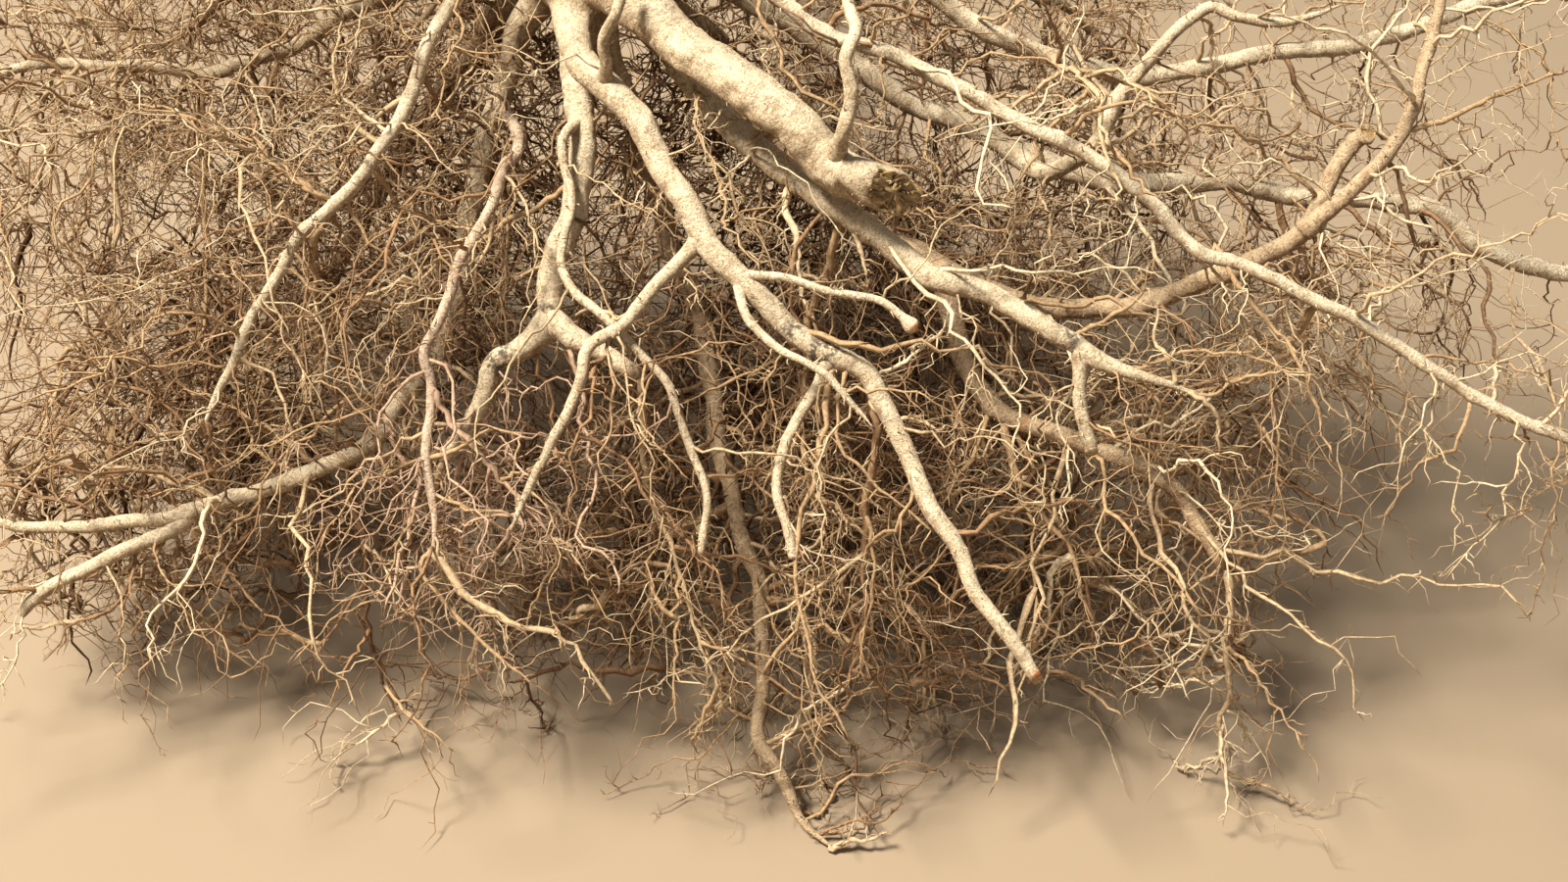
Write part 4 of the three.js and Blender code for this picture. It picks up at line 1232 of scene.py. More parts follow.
# %% [markdown]
# ## Thousands of finer rootlets at once
# Growing tens of thousands of rootlets one by one would be slow in Python. Each level is grown
# as one array instead: a row for each rootlet, and all rows take each step together. A rootlet
# sets out from its parent on the parent's spiral, bends steadily to one side, kinks sharply at
# each step but keeps its heading, droops, and lies down where it meets the ground. Those that
# would run through a root or leave the plant's own reach are dropped.

# %% Grow one level
rng = np.random.default_rng(2031)
LEVELS = {
    "side": {"steps": 16, "kink": 0.76, "arc": 0.09, "droop": 0.06, "sides": 4},
    "strand": {"steps": 11, "kink": 0.74, "arc": 0.08, "droop": 0.05, "sides": 3},
    "fine": {"steps": 7, "kink": 0.95, "arc": 0.14, "droop": 0.05, "sides": 3},
    "hair": {"steps": 3, "kink": 0.90, "arc": 0.15, "droop": 0.02, "sides": 3},
    "nub": {"steps": 3, "kink": 1.10, "arc": 0.20, "droop": 0.02, "sides": 3},
    "twig": {"steps": 9, "kink": 0.13, "arc": 0.03, "droop": -0.015, "sides": 6},
    "seen": {"sides": 6},
}
KEEPS_ITS_WAY = 0.35
THINNING = 0.6
SPROUT = {"fewest": 0.5, "jitter": 0.6, "last": 0.985}


def grow(starts, ways, lengths, widths, level):
    """All rootlets of one level: their paths, one row each."""
    habit = LEVELS[level]
    steps = habit["steps"]
    count = len(starts)
    paths = np.empty((count, steps + 1, 3))
    paths[:, 0] = starts
    heading = way = unit(ways)
    arc = unit(rng.normal(size=(count, 3))) * habit["arc"] * rng.random((count, 1)) * 2
    for step in range(1, steps + 1):
        heading = heading + arc
        heading[:, 2] -= habit["droop"]
        heading = unit(heading)
        way = unit(KEEPS_ITS_WAY * way + heading + 2 * habit["kink"] * (rng.random((count, 3)) - 0.5))
        paths[:, step] = paths[:, step - 1] + way * (lengths / steps)[:, None]
        radii = widths * (1 - THINNING * step / steps) / 2
        paths[:, step, 2] = rest_on_ground(paths[:, step, 2], radii)
    return paths


def end_to_end(rows):
    """The columns of several rows, each laid end to end."""
    return [np.concatenate(column) for column in zip(*rows)]


def splayed(ahead, aside, splay):
    """Ways that lean out from the way ahead, by angles in degrees."""
    lean = np.radians(splay)[:, None]
    return ahead * np.cos(lean) + aside * np.sin(lean)


def sprout(paths, lengths, gap, first):
    """Where the next level leaves its parents: parent's row, place, way out and share along it."""
    counts = np.rint(lengths / gap * (SPROUT["fewest"] + rng.random(len(lengths)))).astype(int)
    parent = np.repeat(np.arange(len(paths)), counts)
    order = np.concatenate([np.arange(count) for count in counts])
    jitter = SPROUT["jitter"] * rng.random(len(order))
    share = np.minimum(first + (1 - first) * (order + jitter) / counts[parent], SPROUT["last"])
    place = share * (paths.shape[1] - 1)
    index = np.minimum(place.astype(int), paths.shape[1] - 2)
    begin, end = paths[parent, index], paths[parent, index + 1]
    starts = begin + (end - begin) * (place - index)[:, None]
    ahead = unit(end - begin)
    aside = unit(np.cross(ahead, unit(rng.normal(size=(len(parent), 3)))))
    splay = SPRAY["splay"] + 2 * SPRAY["splay_spread"] * (rng.random(len(parent)) - 0.5)
    return parent, starts, splayed(ahead, aside, splay), share


# %% Keep rootlets clear of the roots and inside the plant's reach
CLEARANCE = {"share": 1.04, "gap": 0.4}
BOX_MARGIN = 1
line_points = np.vstack([limbs[name]["line"][::2] for name in ALL_ROOTS])
line_radii = np.concatenate([limbs[name]["width_at"](np.linspace(0, 1, len(limbs[name]["line"])))[::2] / 2
                             for name in ALL_ROOTS])


def tree_of(places):
    """A search tree over places."""
    search = kdtree.KDTree(len(places))
    for row, place in enumerate(places):
        search.insert(place, row)
    search.balance()
    return search


root_tree = tree_of(line_points)
lowest = np.array(cad_low) * 1000 - crown_place + BOX_MARGIN
highest = np.array(cad_high) * 1000 - crown_place - BOX_MARGIN


def inside_box(paths):
    """Which rootlets stay inside the plant's box."""
    return ((paths > lowest) & (paths < highest)).all(axis=(1, 2))


def clear_of_roots(paths, skip):
    """Which rootlets stay inside the plant's box and run through no root after their first steps."""
    kept = np.zeros(len(paths), bool)
    for row in np.flatnonzero(inside_box(paths)):
        for place in paths[row, skip:]:
            near = root_tree.find(place)
            if near[2] < line_radii[near[1]] * CLEARANCE["share"] + CLEARANCE["gap"]:
                break
        else:
            kept[row] = True
    return kept


# %% Keep the front roots bare, where the photograph shows them standing in front of the rootlets
FRONT_ROOTS = {"root_front_long": 0.97, "root_thick_stub": 1.0, "root_right_low": 0.9, "root_cross": 0.85,
               "root_slim_front": 0.8, "root_front_knob": 0.85, "root_front_curl": 0.85, "root_down": 0.75,
               "root_down_left": 0.75, "root_down_right": 0.75, "root_left_sweep": 0.7, "root_slim_left": 0.6,
               "root_riser": 0.9, "root_right_long": 0.75, "root_right_rear": 0.6, "root_right_fork": 0.8,
               "root_left_low": 0.5, "root_right_under": 0.4, "root_right_stub": 0.8, "root_left_fork": 0.5,
               "root_front_wisp": 0.85, "root_front_riser": 0.8, "root_right_top": 0.6, "root_right_far": 0.6,
               "root_right_rise": 0.6, "root_tap": 0.7, "root_left_far": 0.6}
BARE_FROM = {"root_right_low": 0.36, "root_right_rear": 0.3, "root_left_low": 0.5, "root_tap": 0.45}
BARE = {"margin": 1.0, "depth": 260, "first_ring": 3, "ring_step": 4}


def crosses_front_roots(paths):
    """Which rootlets would hang across the open side of a front root, by a seeded share."""
    hidden = np.zeros(len(paths), bool)
    toward = paths - EYE
    far = np.linalg.norm(toward, axis=-1)
    for name, share in FRONT_ROOTS.items():
        line = limbs[name]["line"][BARE["first_ring"]::BARE["ring_step"]]
        radii = limbs[name]["width_at"](np.linspace(0, 1, len(line))) / 2 + BARE["margin"]
        first = int(BARE_FROM.get(name, 0) * len(line))
        ways = line[first:] - EYE
        depth = np.linalg.norm(ways, axis=1)
        found = np.zeros(len(paths), bool)
        for way, away, radius in zip(ways / depth[:, None], depth, radii[first:]):
            along = toward @ way
            off = np.sqrt(np.maximum(0, far**2 - along**2)) * (away / along)
            found |= ((off < radius) & (along < away) & (along > away - BARE["depth"])).any(axis=1)
        hidden |= found & (rng.random(len(paths)) < share)
    return hidden


# %% Side rootlets of the limbs, and those that go on from their thin tips
SIDE_ROOTLET = {"shortest": 42, "per_width": 24, "spread": 60, "splay": 64, "sunk": 0.7}
TIP_ROOTLET = {"first_ring": 3, "ring_step": 3, "rings_ahead": 6, "spread": 0.55, "rise": 0.6,
               "width": 0.5, "thinner": 0.2, "shortest": 45, "longer": 50}
batches = []


def keep_batch(paths, lengths, widths, level, tones=None):
    """Adds a batch of rootlets to those that will be made."""
    batches.append({"paths": paths, "lengths": lengths, "widths": widths, "tones": tones, "level": level})
    return batches[-1]


def spread_round(name, share, turn):
    """At shares of a limb's length and turns round it: its line's places, ways ahead and ways out."""
    line = limbs[name]["line"]
    ahead, side, across = frames(line)
    ring = np.rint(share * (len(line) - 1)).astype(int)
    return line[ring], ahead[ring], round_about(turn, side[ring], across[ring])


def limb_rootlets(name):
    """Starts, ways, lengths and widths of the rootlets on one limb, at their collars."""
    share, turn, width = limbs[name]["sides"].T
    middles, ahead, aside = spread_round(name, share, turn)
    radius = limbs[name]["width_at"](share) / 2
    splay = SIDE_ROOTLET["splay"] + SPRAY["splay_spread"] * (rng.random(len(share)) - 0.5)
    starts = middles + aside * (radius * SIDE_ROOTLET["sunk"])[:, None]
    lengths = SIDE_ROOTLET["shortest"] + SIDE_ROOTLET["per_width"] * width
    lengths += SIDE_ROOTLET["spread"] * rng.random(len(share))
    return starts, splayed(ahead, aside, splay), lengths, width


def tip_rootlets(name, count=3):
    """Rootlets that carry on from a limb's thin tip."""
    line = limbs[name]["line"]
    order = np.arange(count)
    ahead = unit(line[-1] - line[-TIP_ROOTLET["rings_ahead"]])
    apart = TIP_ROOTLET["spread"] * rng.normal(size=(count, 3)) * np.array([1, 1, TIP_ROOTLET["rise"]])
    widths = limbs[name]["width"][1] * TIP_ROOTLET["width"] * (1 - TIP_ROOTLET["thinner"] * order)
    lengths = TIP_ROOTLET["shortest"] + TIP_ROOTLET["longer"] * rng.random(count)
    starts = line[len(line) - TIP_ROOTLET["first_ring"] - order * TIP_ROOTLET["ring_step"]]
    return starts, ahead + apart, lengths, widths


rows = [limb_rootlets(name) for name in ALL_ROOTS if len(limbs[name]["sides"])]
rows += [tip_rootlets(name) for name in ALL_ROOTS if name not in {*CUT_ENDS, *TORN_ENDS, *ROUND_ENDS}]
starts, ways, lengths, widths = end_to_end(rows)
paths = grow(starts, ways, lengths, widths, "side")
kept = clear_of_roots(paths, 3) & ~crosses_front_roots(paths[:, 4:])
side_batch = keep_batch(paths[kept], lengths[kept], widths[kept], "side")
print(kept.sum(), "side rootlets on the roots, of", len(kept))

# %% The masses' own rootlets, smoothed
SMOOTHING = {"rootlets": {"pieces": 4, "waves": 0.9}, "twigs": {"pieces": 5, "waves": 0.35}}
LYING_HEIGHT = 0.6


def wavy(line, size, height):
    """A line with the small waves of a real rootlet, kept a height above the ground."""
    waves = rng.normal(size=line.shape) * size
    waves[0] = 0
    line = line + waves
    line[:, 2] = np.maximum(line[:, 2], height - CROWN_HEIGHT)
    return line


def smooth_masses(masses, habit, pieces, waves):
    """The twigs of some masses as paths, lengths and widths, a batch for each number of steps."""
    grown = [each for name in masses for each in mass_twigs[name]]
    for steps in (habit["steps"], habit["side_steps"]):
        lines, widths, lengths = zip(*[each for each in grown if len(each[0]) == steps + 1])
        paths = [wavy(smooth_line(line, pieces), waves, LYING_HEIGHT) for line in lines]
        yield np.array(paths), np.array(lengths, float), np.array(widths, float)


mass_batches = [keep_batch(*batch, "side")
                for batch in smooth_masses(ROOTLET_MASSES, ROOTLET_HABIT, **SMOOTHING["rootlets"])]
print(sum(len(each["paths"]) for each in mass_batches), "rootlets in the masses")

# %% [markdown]
# ## Rootlets that can be told apart in the photograph
# Some of the thicker rootlets stand out one by one. Each is written as the places, in picture
# points from the top left, that its line passes on its way out from a root. A place in the
# picture is a way out from the camera, so the rootlet starts where its root is nearest to the
# first place, and keeps that root's distance, less a given number of millimetres at its tip.

# %% The rootlets that stand out
PICTURE = {"width": 1600, "height": 900}
FOCAL = PICTURE["width"] / 2 / math.tan(WIDTH_OF_VIEW / 2)
INTO_THE_PICTURE = np.array([0, math.cos(LOOK_DOWN), -math.sin(LOOK_DOWN)])
UP_THE_PICTURE = np.array([0, math.sin(LOOK_DOWN), math.cos(LOOK_DOWN)])
SEEN = {"pieces": 12, "steps": 18, "waves": 0.006, "off_ground": 1.5}


def seen(root, width, nearer, *places):
    """One rootlet that stands out: its root, its width, how much nearer its tip is, its places."""
    return {"root": root, "width": width, "nearer": nearer, "places": np.array(places, float)}


SEEN_ROOTLETS = [
    seen("root_right_low", 5, 0, (807, 190), (801, 212), (812, 240), (815, 280), (822, 318)),
    seen("root_right_low", 4, 0, (876, 225), (872, 237), (878, 254), (885, 283)),
    seen("root_right_low", 5.5, 14, (792, 131), (776, 138), (760, 150)),
    seen("root_right_low", 3, 16, (780, 137), (766, 158), (750, 172), (734, 186)),
    seen("root_right_low", 2.6, 20, (1240, 402), (1262, 388), (1300, 380), (1346, 381)),
    seen("root_right_low", 2.4, 10, (1150, 380), (1190, 365), (1222, 358), (1290, 368), (1338, 383)),
    seen("root_right_low", 3, 0, (1100, 340), (1130, 325), (1165, 300), (1171, 268)),
    seen("root_right_long", 3.6, 10, (1240, 252), (1270, 300), (1310, 345), (1330, 380), (1350, 440),
         (1361, 472)),
    seen("root_right_fork", 3.8, -10, (1428, 136), (1480, 120), (1532, 95), (1602, 71)),
    seen("root_front_long", 3.4, 5, (888, 412), (912, 428), (932, 426), (962, 441)),
    seen("root_front_long", 2.4, 0, (893, 384), (918, 372), (945, 350), (962, 338), (970, 308)),
    seen("root_front_long", 3.6, 0, (848, 385), (846, 440), (830, 490), (813, 560), (820, 640), (836, 700),
         (873, 764)),
    seen("root_front_long", 2.8, 0, (858, 390), (856, 452), (880, 480), (905, 505), (957, 546)),
    seen("root_tap", 3, 10, (790, 610), (822, 625), (860, 655), (900, 690), (942, 701)),
    seen("root_tap", 3.4, 5, (786, 757), (810, 745), (832, 735), (867, 724)),
    seen("root_tap", 4, 5, (848, 868), (866, 857), (884, 858), (907, 848)),
    seen("root_tap", 2.4, 5, (768, 735), (740, 722), (709, 718)),
    seen("root_tap", 2.4, 5, (766, 700), (740, 698), (712, 687), (679, 682)),
    seen("root_right_under", 5, 0, (1025, 430), (1032, 465), (1046, 505), (1072, 535), (1095, 565),
         (1102, 602), (1121, 642)),
    seen("root_right_under", 3.2, 0, (1190, 490), (1180, 520), (1210, 540), (1242, 562)),
    seen("root_left_sweep", 3, 0, (352, 120), (345, 100), (340, 70), (346, 30), (352, 2)),
    seen("root_left_sweep", 2.6, -20, (350, 100), (352, 80), (361, 55), (371, 1)),
    seen("root_left_far", 3, 20, (262, 98), (258, 150), (272, 190), (291, 232)),
    seen("root_left_sweep", 3.2, 0, (330, 205), (300, 180), (240, 145), (190, 119), (132, 117), (88, 142)),
    seen("root_left_low", 3.4, -10, (330, 480), (300, 455), (262, 430), (215, 405), (180, 398)),
    seen("root_left_low", 4, 5, (215, 505), (185, 495), (150, 482), (110, 476), (66, 476)),
    seen("root_left_far", 3.4, 30, (210, 300), (205, 335), (190, 362), (150, 410), (134, 442)),
    seen("root_left_far", 4.4, 10, (120, 210), (116, 290), (118, 340), (117, 410), (119, 482)),
    seen("root_slim_left", 5, 0, (440, 560), (470, 602), (520, 635), (575, 650), (603, 688), (629, 723)),
    seen("root_slim_left", 3.4, 0, (428, 575), (452, 613), (500, 660), (548, 701)),
    seen("root_slim_left", 3, 10, (433, 470), (475, 455), (500, 438), (545, 448)),
]


def ways_to(places):
    """The ways from the camera to places in the picture, each one millimetre deep into the view."""
    right = (places[:, 0] - PICTURE["width"] / 2) / FOCAL
    up = (PICTURE["height"] / 2 - places[:, 1]) / FOCAL
    return right[:, None] * np.array([1, 0, 0]) + up[:, None] * UP_THE_PICTURE + INTO_THE_PICTURE


def seen_path(facts):
    """A rootlet's line through its places, from the nearest place on its root, and its length."""
    line = limbs[facts["root"]]["line"]
    ways = ways_to(facts["places"])
    toward = line - EYE
    along = toward @ ways[0] / (ways[0] @ ways[0])
    root = line[np.argmin(np.linalg.norm(toward - along[:, None] * ways[0], axis=1))]
    depth = (root - EYE) @ INTO_THE_PICTURE - facts["nearer"] * np.linspace(0, 1, len(ways))
    smooth = smooth_line(np.vstack([root, EYE + ways * depth[:, None]]), SEEN["pieces"])
    path, even = evenly_spaced(smooth, SEEN["steps"])
    return wavy(path, even[-1] * SEEN["waves"], SEEN["off_ground"]), even[-1]


found = [seen_path(facts) for facts in SEEN_ROOTLETS]
paths, lengths = (np.array(column) for column in zip(*found))
widths = np.array([facts["width"] for facts in SEEN_ROOTLETS], float)
seen_batch = keep_batch(paths, lengths, widths, "seen")
print(len(found), "rootlets stand out")

# %% [markdown]
# ## Strands that fill the heap
# Behind the front roots the photograph shows no way through: long brown strands fill the heap to
# the ground. To fill it evenly, a place is dealt out at random inside the heap for each strand.
# The strand leaves one of the nearest roots or rootlets, and wanders past that place.

# %% The strands
HEAPS = [
    {"middle": (-240, -10, -140), "half": (270, 210, 230), "count": 1900, "widest": 2.8},
    {"middle": (20, -20, -185), "half": (280, 235, 230), "count": 2000, "widest": 2.8},
    {"middle": (270, -40, -225), "half": (240, 200, 185), "count": 1100, "widest": 3.2},
    {"middle": (-20, 110, -60), "half": (380, 220, 170), "count": 1200, "widest": 2.8},
    {"middle": (170, -130, -300), "half": (260, 130, 95), "count": 900, "widest": 5.5},
    {"middle": (-250, -105, -280), "half": (110, 115, 125), "count": 650, "widest": 4.5},
]
STRAND = {"detour": 1.1, "past": 50, "past_least": 0.4, "longest": 240, "thinnest": 0.7, "choice": 12,
          "outward": 0.37, "mostly_thin": 3, "off_ground": 10}
BARE_STARTS = 0.8


def strand_starts():
    """Places on the wood that strands may leave: on the roots behind, and on the rootlets so far."""
    places = [limbs[name]["line"][6::5] for name in ALL_ROOTS if FRONT_ROOTS.get(name, 0) < BARE_STARTS]
    places += [batch["paths"][:, 2:].reshape(-1, 3) for batch in (*mass_batches, seen_batch)]
    places += [side_batch["paths"][:, 3:12:4].reshape(-1, 3)]
    return np.vstack(places)


def in_heap(heap):
    """Places dealt out at random inside one heap, above the ground, and a width for each."""
    out = unit(rng.normal(size=(heap["count"], 3))) * rng.random((heap["count"], 1)) ** STRAND["outward"]
    places = np.array(heap["middle"]) + out * np.array(heap["half"])
    thicker = rng.random(len(places)) ** STRAND["mostly_thin"]
    widths = STRAND["thinnest"] + (heap["widest"] - STRAND["thinnest"]) * thicker
    above = places[:, 2] > STRAND["off_ground"] - CROWN_HEIGHT
    return places[above], widths[above]


start_tree = tree_of(strand_starts())
targets, widths = end_to_end([in_heap(heap) for heap in HEAPS])
nearest = [start_tree.find_n(place, STRAND["choice"]) for place in targets]
picks = rng.integers(0, STRAND["choice"], len(targets))
starts = np.array([found[pick][0] for found, pick in zip(nearest, picks)])
ways = targets - starts
past = STRAND["past"] * (STRAND["past_least"] + rng.random(len(ways)))
lengths = np.minimum(np.linalg.norm(ways, axis=1) * STRAND["detour"] + past, STRAND["longest"])
paths = grow(starts, ways, lengths, widths, "strand")
kept = clear_of_roots(paths, 2) & ~crosses_front_roots(paths[:, 1:])
strand_batch = keep_batch(paths[kept], lengths[kept], widths[kept], "strand")
print(kept.sum(), "strands fill the heap, of", len(kept))

# %% [markdown]
# ## Tints dealt out by spray
# In the heap the rootlets run from cream through tan to russet and dark. A pattern over the whole mass would
# be lost when the pieces are exported, so each spray takes one plain tint, and its finer rootlets keep it or
# move one step along the scale. Over a random spread, the tints are paler in front, high up and at the sides,
# which is painted light, and darker low down and deep inside the heap, which is painted shade.

# %% Tints
TINTS = {
    "cream": (0.76, 0.62, 0.42),
    "buff": (0.60, 0.45, 0.28),
    "tan": (0.47, 0.32, 0.18),
    "russet": (0.34, 0.205, 0.11),
    "umber": (0.17, 0.095, 0.048),
    "pinkish": (0.54, 0.37, 0.26),
}
SCALE = ["cream", "buff", "tan", "russet", "umber"]
PINKISH = len(SCALE)
# Paler tints in front, high up and at the sides are painted light; darker ones low down and inside are
# painted shade.
TONE = {"darkest": 3.3, "front": 1.2, "high": 1.6, "aside": 0.9, "spread": 0.9}
FRONT, HIGH, ASIDE = (-20, 230), (-230, 260), 400
HEAP_SHADE = {"middle": (20, -20, -250), "half": (360, 240, 200), "most": 2.3, "outward": 1.5, "spread": 0.5}
TUFT = {"middle": (-60, -215, -200), "reach": 75, "share": 0.7}


def deal_tones_and_painted_light(paths):
    """A tint for each rootlet, with painted light and shade: paler in front, high up and at the sides, darker
    low down and inside.
    """
    middle = paths[:, paths.shape[1] // 2]
    front = np.clip((FRONT[0] - middle[:, 1]) / FRONT[1], 0, 1)
    high = np.clip((middle[:, 2] - HIGH[0]) / HIGH[1], 0, 1)
    aside = np.clip(np.abs(middle[:, 0]) / ASIDE, 0, 1)
    score = TONE["darkest"] - TONE["front"] * front - TONE["high"] * high - TONE["aside"] * aside
    score += TONE["spread"] * rng.normal(size=len(paths))
    tones = np.clip(np.rint(score), 0, len(SCALE) - 1).astype(int)
    tuft = np.linalg.norm(middle - np.array(TUFT["middle"]), axis=1) < TUFT["reach"]
    tones[tuft & (rng.random(len(paths)) < TUFT["share"])] = PINKISH
    return tones


def inherit_tones(tones):
    """A child's tint: its parent's, or one step from it."""
    step = rng.choice([-1, 0, 0, 0, 1], size=len(tones))
    return np.where(tones == PINKISH, tones, np.clip(tones + step, 0, len(SCALE) - 1))


for batch in (side_batch, seen_batch, *mass_batches):
    batch["tones"] = deal_tones_and_painted_light(batch["paths"])
seen_batch["tones"] = np.minimum(seen_batch["tones"], SCALE.index("tan"))
# Strands deep inside the heap are dealt still darker tints: painted shade.
out = (strand_batch["paths"][:, 6] - np.array(HEAP_SHADE["middle"])) / np.array(HEAP_SHADE["half"])
darker = HEAP_SHADE["most"] - HEAP_SHADE["outward"] * np.linalg.norm(out, axis=1)
darker = np.rint(darker + HEAP_SHADE["spread"] * rng.normal(size=len(out))).astype(int)
strand_batch["tones"] = np.clip(deal_tones_and_painted_light(strand_batch["paths"]) + darker, 0, SCALE.index("umber"))
print("tints dealt to", sum(len(batch["tones"]) for batch in batches), "rootlets and strands")

# %% Fine rootlets and hairs
FINER = {"first": 0.08, "mostly_short": 2, "shorter_at_tip": 0.35, "of_parent": 0.8}
FINE = {**FINER, "gap": 16, "shortest": 10, "spread": 105, "width": (0.75, 0.75), "level": "fine", "skip": 2}
SEEN_FINE = {**FINE, "gap": 9, "spread": 63}
STRAND_FINE = {**FINE, "gap": 150, "spread": 63}
MASS_FINE = {**FINE, "gap": 7, "spread": 131.25}
HAIR = {**FINER, "gap": 60, "shortest": 8, "spread": 26, "width": (0.45, 0.25), "level": "hair", "skip": 1}
SPUR = {**HAIR, "gap": 13, "shortest": 4, "spread": 16, "width": (0.55, 0.35)}


def finer(paths, lengths, widths, habit):
    """The finer rootlets or twigs that a batch carries: their parents, paths, lengths and widths."""
    parent, starts, ways, share = sprout(paths, lengths, habit["gap"], habit["first"])
    longer = habit["spread"] * rng.random(len(parent)) ** habit["mostly_short"]
    lengths = (habit["shortest"] + longer) * (1 - habit["shorter_at_tip"] * share)
    thinnest, extra = habit["width"]
    slim = thinnest + extra * rng.random(len(parent))
    widths = np.minimum(slim, widths[parent] * habit["of_parent"])
    return parent, grow(starts, ways, lengths, widths, habit["level"]), lengths, widths


def next_level(batch, habit):
    """The finer rootlets of one batch that stay clear of the roots, in a batch of their own."""
    parent, paths, lengths, widths = finer(batch["paths"], batch["lengths"], batch["widths"], habit)
    kept = clear_of_roots(paths, habit["skip"]) & ~crosses_front_roots(paths[:, 1:])
    tones = inherit_tones(batch["tones"][parent[kept]])
    return keep_batch(paths[kept], lengths[kept], widths[kept], habit["level"], tones)


bearers = [(side_batch, FINE), (seen_batch, SEEN_FINE), (strand_batch, STRAND_FINE)]
bearers += [(batch, MASS_FINE) for batch in mass_batches]
fine_batches = [next_level(batch, habit) for batch, habit in bearers]
print(sum(len(batch["paths"]) for batch in fine_batches), "fine rootlets")
hair_batches = [next_level(batch, HAIR) for batch in fine_batches]
hair_batches += [next_level(batch, SPUR) for batch in (side_batch, seen_batch, *mass_batches)]
print(sum(len(batch["paths"]) for batch in hair_batches), "hairs and short spurs")

# %% Nubs that roughen the roots
NUB = {"gap": 3.4, "first": 0.05, "span": 0.93, "shortest": 1.6, "spread": 7.0, "width": (0.5, 0.6),
       "forward": (0.2, 0.8), "sunk": 0.92, "palest": 1}


def nubs_on(name):
    """Starts, ways, lengths and widths of the broken nubs on one limb."""
    count = int(limbs[name]["length"] / NUB["gap"])
    share = NUB["first"] + NUB["span"] * rng.random(count)
    turn = rng.random(count) * 2 * np.pi
    middles, ahead, aside = spread_round(name, share, turn)
    least, more = NUB["forward"]
    ways = aside + ahead * (least + more * rng.random((count, 1)))
    starts = middles + aside * (limbs[name]["width_at"](share) / 2 * NUB["sunk"])[:, None]
    lengths = NUB["shortest"] + NUB["spread"] * rng.random(count) ** 2
    thinnest, extra = NUB["width"]
    return starts, ways, lengths, thinnest + extra * rng.random(count)


rows = [nubs_on(name) for name in ALL_ROOTS]
starts, ways, lengths, widths = end_to_end(rows)
paths = grow(starts, ways, lengths, widths, "nub")
tones = np.clip(deal_tones_and_painted_light(paths) - NUB["palest"], 0, SCALE.index("tan"))
keep_batch(paths, lengths, widths, "nub", tones)
print(len(paths), "nubs")

# %% Turn rows of paths into tubes
TIP_SHARE = 0.35
UNEVEN = 0.22
LOWEST_CORNER = 0.1
ASKEW = np.array([0.31, 0.52, 0.79])


def triangles_in(batch, sides):
    """How many triangles each tube of a batch has."""
    return 2 * sides * (batch["paths"].shape[1] - 2) + 2 * sides - 2


def tubes_of(paths, widths, sides):
    """Corners and triangles of closed tubes that run to a point, one for each row of paths."""
    count, stations = paths.shape[:2]
    ahead = np.empty_like(paths)
    ahead[:, 1:-1] = paths[:, 2:] - paths[:, :-2]
    ahead[:, 0], ahead[:, -1] = paths[:, 1] - paths[:, 0], paths[:, -1] - paths[:, -2]
    ahead = unit(ahead + 1e-9)
    side = np.cross(ahead[:, 0], ASKEW)
    rings = stations - 1
    corners = np.empty((count, rings * sides + 1, 3))
    turns = (np.arange(sides) / sides * 2 * np.pi)[None, :, None]
    for ring in range(rings):
        way = ahead[:, ring]
        side = unit(side - way * (side * way).sum(-1, keepdims=True))
        across = np.cross(way, side)
        uneven = 1 + UNEVEN * (2 * rng.random(count) - 1)
        radius = widths / 2 * (1 - (1 - TIP_SHARE) * ring / rings) * uneven
        spokes = np.cos(turns) * side[:, None] + np.sin(turns) * across[:, None]
        corners[:, ring * sides:(ring + 1) * sides] = paths[:, ring][:, None] + spokes * radius[:, None, None]
    corners[:, -1] = paths[:, -1]
    corners[..., 2] = np.maximum(corners[..., 2], LOWEST_CORNER - CROWN_HEIGHT)
    faces = []
    for ring in range(rings - 1):
        for turn in range(sides):
            here, there = ring * sides + turn, ring * sides + (turn + 1) % sides
            faces += [(here, there, there + sides), (here, there + sides, here + sides)]
    last = (rings - 1) * sides
    faces += [(last + turn, last + (turn + 1) % sides, rings * sides) for turn in range(sides)]
    faces += [(0, turn + 1, turn) for turn in range(1, sides - 1)]
    return many_of(corners, np.array(faces))


def many_of(corners, faces):
    """One list of corners and one of triangles, from rows of like forms."""
    shift = (np.arange(len(corners)) * corners.shape[1])[:, None, None]
    return corners.reshape(-1, 3), (faces[None] + shift).reshape(-1, 3)


def joined_piece(name, parts, material, slot, nodes):
    """One piece from many parts, each (corners, triangles), that stands for some solids."""
    starts = np.cumsum([0] + [len(corners) for corners, faces in parts[:-1]])
    corners = to_frame(np.vstack([corners for corners, faces in parts])).astype(np.float32)
    faces = np.vstack([faces + start for (_, faces), start in zip(parts, starts)]).astype(np.int32)
    mesh = bpy.data.meshes.new(name)
    mesh.vertices.add(len(corners))
    mesh.vertices.foreach_set("co", corners.ravel())
    mesh.loops.add(len(faces) * 3)
    mesh.loops.foreach_set("vertex_index", faces.ravel())
    mesh.polygons.add(len(faces))
    mesh.polygons.foreach_set("loop_start", np.arange(0, len(faces) * 3, 3, dtype=np.int32))
    mesh.polygons.foreach_set("use_smooth", np.ones(len(faces), bool))
    mesh.update(calc_edges=True)
    mesh.validate()
    dress(mesh, material, slot, *nodes)
    return len(faces)


# %% Materials of the rootlets
ROOTLET_BUMP = {"strength": 0.4, "depth": 0.0003, "sheen": 0.25, "weights": {"grit": 1.0}}
ROOTLET_GRIT = {"scale": 420, "detail": 3, "roughness": 0.7}
DARKER = 0.62


